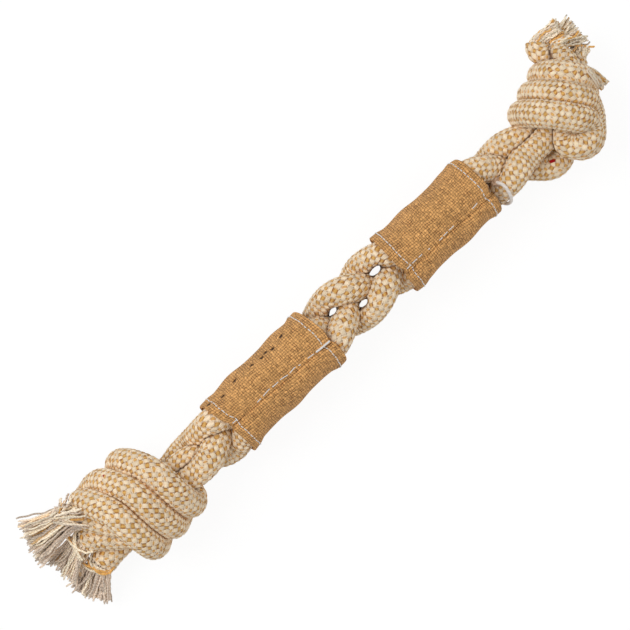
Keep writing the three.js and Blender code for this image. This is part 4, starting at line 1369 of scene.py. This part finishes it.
def fray_curves(random, base, heading, tip, number, spread, via=None):
    """Loose yarns: each leaves the rope's end along it, fans out and waves, or goes by way of a point.
    The lower ones reach further, so the cut slants."""
    inside = np.sqrt(random.random(number)) * YARN_DISC
    round_it = random.random(number) * TAU
    ahead = unit(tip - base)
    aside = unit(np.cross((0, 0, 1), ahead))
    above = np.cross(ahead, aside)
    start_side = unit(np.cross((0, 0, 1), heading))
    start_above = np.cross(heading, start_side)
    lateral, lift = np.cos(round_it) * inside, np.sin(round_it) * inside
    start = base - heading * YARN_INSET + start_side * lateral[:, None] + start_above * lift[:, None]
    scale = spread / YARN_DISC
    stray = np.where(random.random(number) < STRAY_SHARE, STRAY_FAR, STRAY_NEAR) * spread
    end_side = lateral * scale + random.normal(0, 1, number) * stray
    end_lift = lift * scale * 0.7 + random.normal(0, 0.8, number) * stray
    reach = np.linalg.norm(tip - base)
    out = reach * (1 + random.normal(0, 0.05, number)) - CUT_SLANT * end_lift
    out = np.minimum(out, FURTHEST * reach)
    end = base + ahead * out[:, None] + aside * end_side[:, None] + above * end_lift[:, None]
    span = np.linalg.norm(end - start, axis=1)[:, None]
    fan = unit(ahead + (aside * end_side[:, None] + above * end_lift[:, None]) / reach * 0.8)
    first, second = start + heading * span * 0.3, end - fan * span * 0.35
    if via is not None:
        middle = via + (end - base - ahead * out[:, None]) * 0.7
        first = second = (8 * middle - start - end) / 6
    return waved(random, bowed(start, first, second, end), aside, above, 0.9 * MM)


def tuft_curves(random, points, radius, waist, number):
    """Short yarns that fan back from the waist of a tail over the knot and lie on its ropes."""
    turn = random.uniform(*TUFT_TURN, number)
    out = np.stack([np.cos(turn), np.sin(turn), np.zeros(number)], -1)
    reach = random.uniform(*TUFT_REACH, (number, 1)) * (1 - 0.6 * np.maximum(out[:, 1:2], 0)) * MM
    start = waist + random.normal(0, 1.4, (number, 3)) * MM
    end = waist + out * reach
    lies = top_of(points, radius, end) + random.uniform(*TUFT_LIES, number) * MM
    end[:, 2] = np.maximum(lies, waist[2] - 8 * MM)
    rise = np.array([0, 0, 1]) * MM
    first = start + out * reach * 0.2 + rise * random.uniform(2, 4, (number, 1))
    second = end - out * reach * 0.3 + rise * random.uniform(1.5, 3.5, (number, 1))
    side = np.array([0, 1, 0])
    return waved(random, bowed(start, first, second, end), side, np.array([0, 0, 1]), 0.7 * MM)


def curled_curves(random, line, cut, inward, number):
    """Long yarns of the braid that curl across the top of a rope's end."""
    heading = -inward * line.tangents[cut]
    base = line.points[cut]
    side = unit(np.cross((0, 0, 1), heading))
    up = np.cross(heading, side)
    hand = np.where(random.random(number) < 0.5, -1, 1)[:, None]

    def spot(out, across, rise):
        return base + (heading * out + side * hand * across + up * rise) * MM

    start = spot(random.uniform(-3, 0, (number, 1)), -6.5, random.uniform(2, 5, (number, 1)))
    first = spot(random.uniform(1, 6, (number, 1)), -8, random.uniform(6, 9, (number, 1)))
    second = spot(random.uniform(3, 9, (number, 1)), 3, random.uniform(8, 10, (number, 1)))
    across = random.uniform(6, 12, (number, 1))
    end = spot(random.uniform(0, 9, (number, 1)), across, random.uniform(1, 6, (number, 1)))
    return waved(random, bowed(start, first, second, end), side, up, 0.8 * MM)


class TOY_OT_frays(bpy.types.Operator):
    """The loose yarns of the six rope ends"""

    bl_idname = "toy.frays"
    bl_label = "Frayed ends"

    def execute(self, context):
        size, yarn = context.scene.toy_ropes, context.scene.toy_yarns
        for line in rope_lines(size):
            for side in SIDES:
                random = np.random.default_rng(10 * line.rope + (1 if side == "left" else 2))
                curves, tint = self.yarns(random, size, yarn, line, side)
                radii = yarn.diameter / 2 * random.uniform(0.8, 1.15, len(curves))
                name = f"rope_{line.rope + 1}"
                made = yarn_tubes(f"{side}_fray_{name}", curves, radii, tint)
                node = f"{name}_{side}_fray"
                dress(made, "yarn", lambda: yarn_finish(yarn), [node], f"{side}_end")
        return {"FINISHED"}

    def yarns(self, random, size, yarn, line, side):
        """The curves of one tail's yarns, and the shade of each from grey over cream to tan."""
        left = side == "left"
        place = line.places[side]
        cut = fray_start(line, side)
        inward = 1 if left else -1
        tip = tail_points(size, side, place)[2]
        number = yarn.left_count if left else yarn.right_count
        spread = KNOTS[side]["spread"][place] * MM
        heading = -inward * line.tangents[cut]
        via = np.array(SIDE_FRINGE) * MM if place == 2 and not left else None
        curves = [fray_curves(random, line.points[cut], heading, tip, number, spread, via)]
        tints = [random.uniform(*SHADES[side], number)]
        points = np.vstack([other.points for other in rope_lines(size)])
        if left and place == 0:
            waist = np.array(TUFT_WAIST) * MM
            curves.append(tuft_curves(random, points, size.diameter / 2, waist, yarn.back_count))
            tints.append(random.uniform(*SHADES["turned"], yarn.back_count))
        elif left:
            curves.append(curled_curves(random, line, cut, inward, yarn.curl_count))
            tints.append(random.uniform(*SHADES["curled"], yarn.curl_count))
        elif place == 2:
            spots = curves[0].reshape(-1, 3) - PLAIT_ORIGIN
            lies = top_of(points, size.diameter / 2, spots).reshape(number, -1) + PLAIT_ORIGIN[2]
            loose = smooth_share(np.linspace(0, 1, YARN_POINTS), 0.2, 0.5)
            lifted = np.maximum(curves[0][..., 2], lies + random.uniform(0.3, 1.5, (number, 1)) * MM)
            curves[0][..., 2] += (lifted - curves[0][..., 2]) * loose
            tip = tail_points(size, side, place)[3]
            curves.append(fray_curves(random, line.points[cut], heading, tip, number // 2, SECOND_SPREAD))
            tints.append(random.uniform(*SHADES["second"], number // 2))
        return np.concatenate(curves), np.concatenate(tints)


class TOY_OT_sleeves(bpy.types.Operator):
    """The two jute sleeves"""

    bl_idname = "toy.sleeves"
    bl_label = "Jute sleeves"

    def execute(self, context):
        size, cut = context.scene.toy_ropes, context.scene.toy_sleeves
        for side in SIDES:
            made, flat = sleeve_sheet(f"{side}_sleeve_cloth", Cloth(size, cut, side))
            dress(made, "jute", lambda: jute_finish(cut), [f"{side}_sleeve"], f"{side}_grip")
        return {"FINISHED"}


def stitch_lift(run, stitches, gaps, radius, shown):
    """Height of a running stitch over the cloth along a row: on top over each stitch that lies in one of
    the shown stretches, and under the cloth elsewhere, with a smooth dip between."""
    edges = np.cumsum(np.stack([stitches, gaps], -1).ravel())
    edges = np.concatenate([[0], edges])
    on_top = np.zeros_like(run)
    for start, end in zip(edges[:-1:2], edges[1::2]):
        inside = np.minimum(run - start, end - run)
        on_top = np.maximum(on_top, smooth_share(inside, -0.35 * MM, 0.25 * MM))
    seen = np.zeros_like(run)
    for start, end in shown:
        seen = np.maximum(seen, smooth_share(np.minimum(run - start * MM, end * MM - run), 0, 0.6 * MM))
    on_top = on_top * seen
    return radius * STITCH_RISE * on_top - STITCH_DIP * (1 - on_top)


STITCH_RISE = 0.7  # of a stitch over the cloth, as a share of the thread's radius
STITCH_DIP = 1.1 * MM  # of the thread under the cloth
# Shortest and longest stitch of a row, and gap between two, in millimetres
HEM_STITCH, HEM_GAP = (1.1, 2.0), (0.7, 1.2)
SEAM_STITCH, SEAM_GAP = (3.0, 6.0), (1.0, 1.9)
# Where the thread of a seam lies on top, in millimetres along the sleeve
SEAM_SHOWN = {"left": ((0, 5), (20, 52), (55.5, 72)), "right": ((0, 14), (17, 19.5), (26, 38), (52, 57))}


class TOY_OT_stitches(bpy.types.Operator):
    """The rows of stitches round the hems and along the seams"""

    bl_idname = "toy.stitches"
    bl_label = "Stitches"

    def execute(self, context):
        size, cut = context.scene.toy_ropes, context.scene.toy_sleeves
        for side in SIDES:
            random = np.random.default_rng(31 if side == "left" else 32)
            cloth = Cloth(size, cut, side)
            ends = (("outer", "inner") if side == "left" else ("inner", "outer"))
            for row, edge, inward in zip(ends, (cloth.start, cloth.end), (1, -1)):
                path = self.hem_row(random, cut, cloth, edge + inward * cut.stitch_row)
                self.lay(context, f"{side}_sleeve_{row}_hem_thread", side, path, cut.thread / 2)
            path, radius = self.seam_row(random, cut, cloth)
            self.lay(context, f"{side}_sleeve_seam_thread", side, path, radius)
        return {"FINISHED"}

    def hem_row(self, random, cut, cloth, place):
        """The path of the thread round one hem."""
        x = np.array([place])
        turns = np.linspace(cloth.lap + 0.05, cloth.sweep, 900)
        radius = cloth.outside(x, turns)[0]
        angles = cloth.angles(x, turns)
        run = np.concatenate([[0], np.cumsum(np.hypot(np.diff(radius), radius[1:] * np.diff(turns)))])
        stitches = random.uniform(*HEM_STITCH, 90) * MM
        gaps = random.uniform(*HEM_GAP, 90) * MM
        lift = stitch_lift(run, stitches, gaps, cut.thread / 2, ((-1, run[-1] / MM + 1),))
        sway = np.interp(run, np.linspace(0, run[-1], 40), random.normal(0, 0.18, 40)) * MM
        return round_axis(x + cloth.shift(x, angles)[0] + sway, radius + lift, angles[0])

    def seam_row(self, random, cut, cloth):
        """The path of the thread along the seam, and its radius: two threads lie side by side at the
        right end of the left sleeve."""
        x = np.linspace(cloth.start + 1.5 * MM, cloth.end - 0.5 * MM, 700)
        sway = np.interp(x, np.linspace(x[0], x[-1], 16), random.normal(0, 0.028, 16))
        turns = cloth.seam(x) + sway
        stitches = random.uniform(*SEAM_STITCH, 24) * MM
        gaps = random.uniform(*SEAM_GAP, 24) * MM
        lift = stitch_lift(x - cloth.start, stitches, gaps, cut.thread / 2, SEAM_SHOWN[cloth.side])
        doubled = smooth_share(cloth.share(x), 0.84, 0.88) if cloth.side == "left" else 0 * x
        places = x + cloth.shift(x, turns[:, None])[:, 0]
        return round_axis(places, cloth.over(x, turns) + lift, turns), cut.thread / 2 * (1 + 1.1 * doubled)

    def lay(self, context, node, side, path, radius):
        """One row of stitches as a thread."""
        cut = context.scene.toy_sleeves
        made = thread_tube(f"{node}_row", path, radius)

        def build():
            return twisted_finish("sewing thread", cut.thread_colour, 1.2)

        dress(made, "thread", build, [node], f"{side}_grip")


# Where the tie lies on top of the ropes and then goes down round one, in millimetres from the sleeve's end
TIE_TOP = ((2.6, -5.6), (3.8, -8.3), (4.1, -10.6), (3.7, -13.6), (3.2, -16))
TIE_UNDER = ((2.2, -18.3, 1), (0.6, -18.1, -4.5), (-1, -15, -10.5))


class TOY_OT_tie(bpy.types.Operator):
    """The white tie round the outer rope beside the right sleeve, with its small knot"""

    bl_idname = "toy.tie"
    bl_label = "Tie cord"

    def execute(self, context):
        size, cut = context.scene.toy_ropes, context.scene.toy_sleeves
        start = sleeve_span(size, "right")[1]
        flat = np.array([(*place, 0) for place in TIE_TOP]) * MM
        flat[:, 0] += start
        points = np.vstack([line.points for line in rope_lines(size)])
        flat[:, 2] = top_of(points, (size.diameter + cut.tie) / 2, flat)
        under = np.array(TIE_UNDER) * MM + np.array([start, 0, 0])
        path = smooth_curve(np.vstack([flat, under]), 0.4 * MM) + PLAIT_ORIGIN
        self.lay("tie_cord_loop", path, cut.tie / 2, "tie", cut.tie_colour)
        turns = np.linspace(0, TAU, 72)
        knot = np.stack([
            np.sin(turns) + 2 * np.sin(2 * turns), np.cos(turns) - 2 * np.cos(2 * turns), -np.sin(3 * turns),
        ], -1) * 0.36 * cut.tie
        # Painted shade: the knot gets a browner, deeper colour than the cord
        self.lay("tie_cord_knot", path[0] + knot, 0.4 * cut.tie, "tie knot", cut.tie_knot)
        return {"FINISHED"}

    def lay(self, name, path, radius, key, shade):
        """One stretch of the cord."""
        made = thread_tube(name, path, radius, sides=14)
        dress(made, key, lambda: twisted_finish(key, shade, 0.35), ["tie_cord"], "right_grip")


# Knot, place, slope, length and half thickness of each fleck, in degrees and millimetres
FLECKS = (("right", (124.4, -18), -27, 3.4, 0.9), ("left", (-159.5, 25.4), 60, 0.9, 0.35))


class TOY_OT_flecks(bpy.types.Operator):
    """The stray red fibres caught in the braid of the knots"""

    bl_idname = "toy.flecks"
    bl_label = "Red flecks"

    def execute(self, context):
        size = context.scene.toy_ropes
        points = np.vstack([line.points for line in rope_lines(size)])
        for side, place, slope, long, half in FLECKS:
            lean = math.radians(slope)
            run = np.linspace(-0.5, 0.5, 12)[:, None] * long * MM
            flat = np.array(place) * MM + run * np.array([math.cos(lean), math.sin(lean)])
            top = top_of(points, size.diameter / 2, flat)
            path = np.column_stack([flat, top + 0.15 * MM]) + PLAIT_ORIGIN
            thick = half * MM * np.sqrt(np.maximum(1 - (2 * run[:, 0] / (1.02 * long * MM)) ** 2, 0.02))
            made = thread_tube(f"{side}_knot_fleck", path, thick, sides=10)
            put_finish(made, "fleck", lambda: plain_finish("red fibre", size.fleck, 0.8))
            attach(made, f"{side}_end")
        return {"FINISHED"}


class TOY_OT_stage(bpy.types.Operator):
    """The floor, the lights and the camera"""

    bl_idname = "toy.stage"
    bl_label = "Floor, light and camera"

    def execute(self, context):
        scene, stage = context.scene, context.scene.toy_stage
        corners = np.array([[-1, -1, 0], [1, -1, 0], [1, 1, 0], [-1, 1, 0]]) * FLOOR_REACH
        face = np.array([[0, 1, 2, 3]])
        floor = make_object("floor", corners, [face], "floor", [corners[None, :, :2]])
        put_finish(floor, "floor", lambda: floor_finish(stage))
        world = bpy.data.worlds.new("soft light")
        world.use_nodes = True
        background = world.node_tree.nodes["Background"]
        background.inputs["Color"].default_value = (1, 1, 1, 1)
        background.inputs["Strength"].default_value = AMBIENT
        scene.world = world
        for name, place, width, power in LAMPS:
            self.lamp(scene, name, place, width, power)
        camera = bpy.data.objects.new("camera", bpy.data.cameras.new("camera"))
        camera.data.sensor_width = SENSOR
        camera.data.lens = SENSOR * stage.distance / stage.width
        camera.location = PLAIT_ORIGIN + CAMERA_TARGET + np.array([0, 0, stage.distance])
        camera.rotation_euler = (0, 0, stage.turn)
        camera.data.clip_start, camera.data.clip_end = 0.01, 20
        scene.collection.objects.link(camera)
        scene.camera = camera
        scene.view_settings.view_transform = "Standard"
        return {"FINISHED"}

    def lamp(self, scene, name, place, width, power):
        """A square soft lamp that faces the middle of the toy."""
        data = bpy.data.lights.new(name, "AREA")
        data.size = width
        data.energy = power
        made = bpy.data.objects.new(name, data)
        made.location = place
        aim = -made.location
        made.rotation_euler = aim.to_track_quat("-Z", "Y").to_euler()
        scene.collection.objects.link(made)


class VIEW3D_PT_rope_toy(bpy.types.Panel):
    """Buttons that make the pieces of the rope toy"""

    bl_label = "Rope toy"
    bl_idname = "VIEW3D_PT_rope_toy"
    bl_space_type = "VIEW_3D"
    bl_region_type = "UI"
    bl_category = "Rope toy"

    def draw(self, context):
        for operator in OPERATORS:
            self.layout.operator(operator.bl_idname)


SETTINGS = {
    "toy_ropes": RopeSettings,
    "toy_yarns": YarnSettings,
    "toy_sleeves": SleeveSettings,
    "toy_stage": StageSettings,
}
OPERATORS = (
    TOY_OT_stage, TOY_OT_knot_ropes, TOY_OT_plait_ropes, TOY_OT_frays, TOY_OT_sleeves, TOY_OT_stitches,
    TOY_OT_tie, TOY_OT_flecks,
)
CLASSES = (*SETTINGS.values(), *OPERATORS, VIEW3D_PT_rope_toy)


def register():
    """Adds the classes and the settings to Blender."""
    for made in CLASSES:
        bpy.utils.register_class(made)
    for name, group in SETTINGS.items():
        setattr(bpy.types.Scene, name, bpy.props.PointerProperty(type=group))


def unregister():
    """Takes the settings and the classes out again."""
    for name in SETTINGS:
        delattr(bpy.types.Scene, name)
    for made in reversed(CLASSES):
        bpy.utils.unregister_class(made)


def main():
    register()
    for operator in OPERATORS:
        group, name = operator.bl_idname.split(".")
        getattr(getattr(bpy.ops, group), name)()
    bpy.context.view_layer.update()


if __name__ == "__main__":
    main()
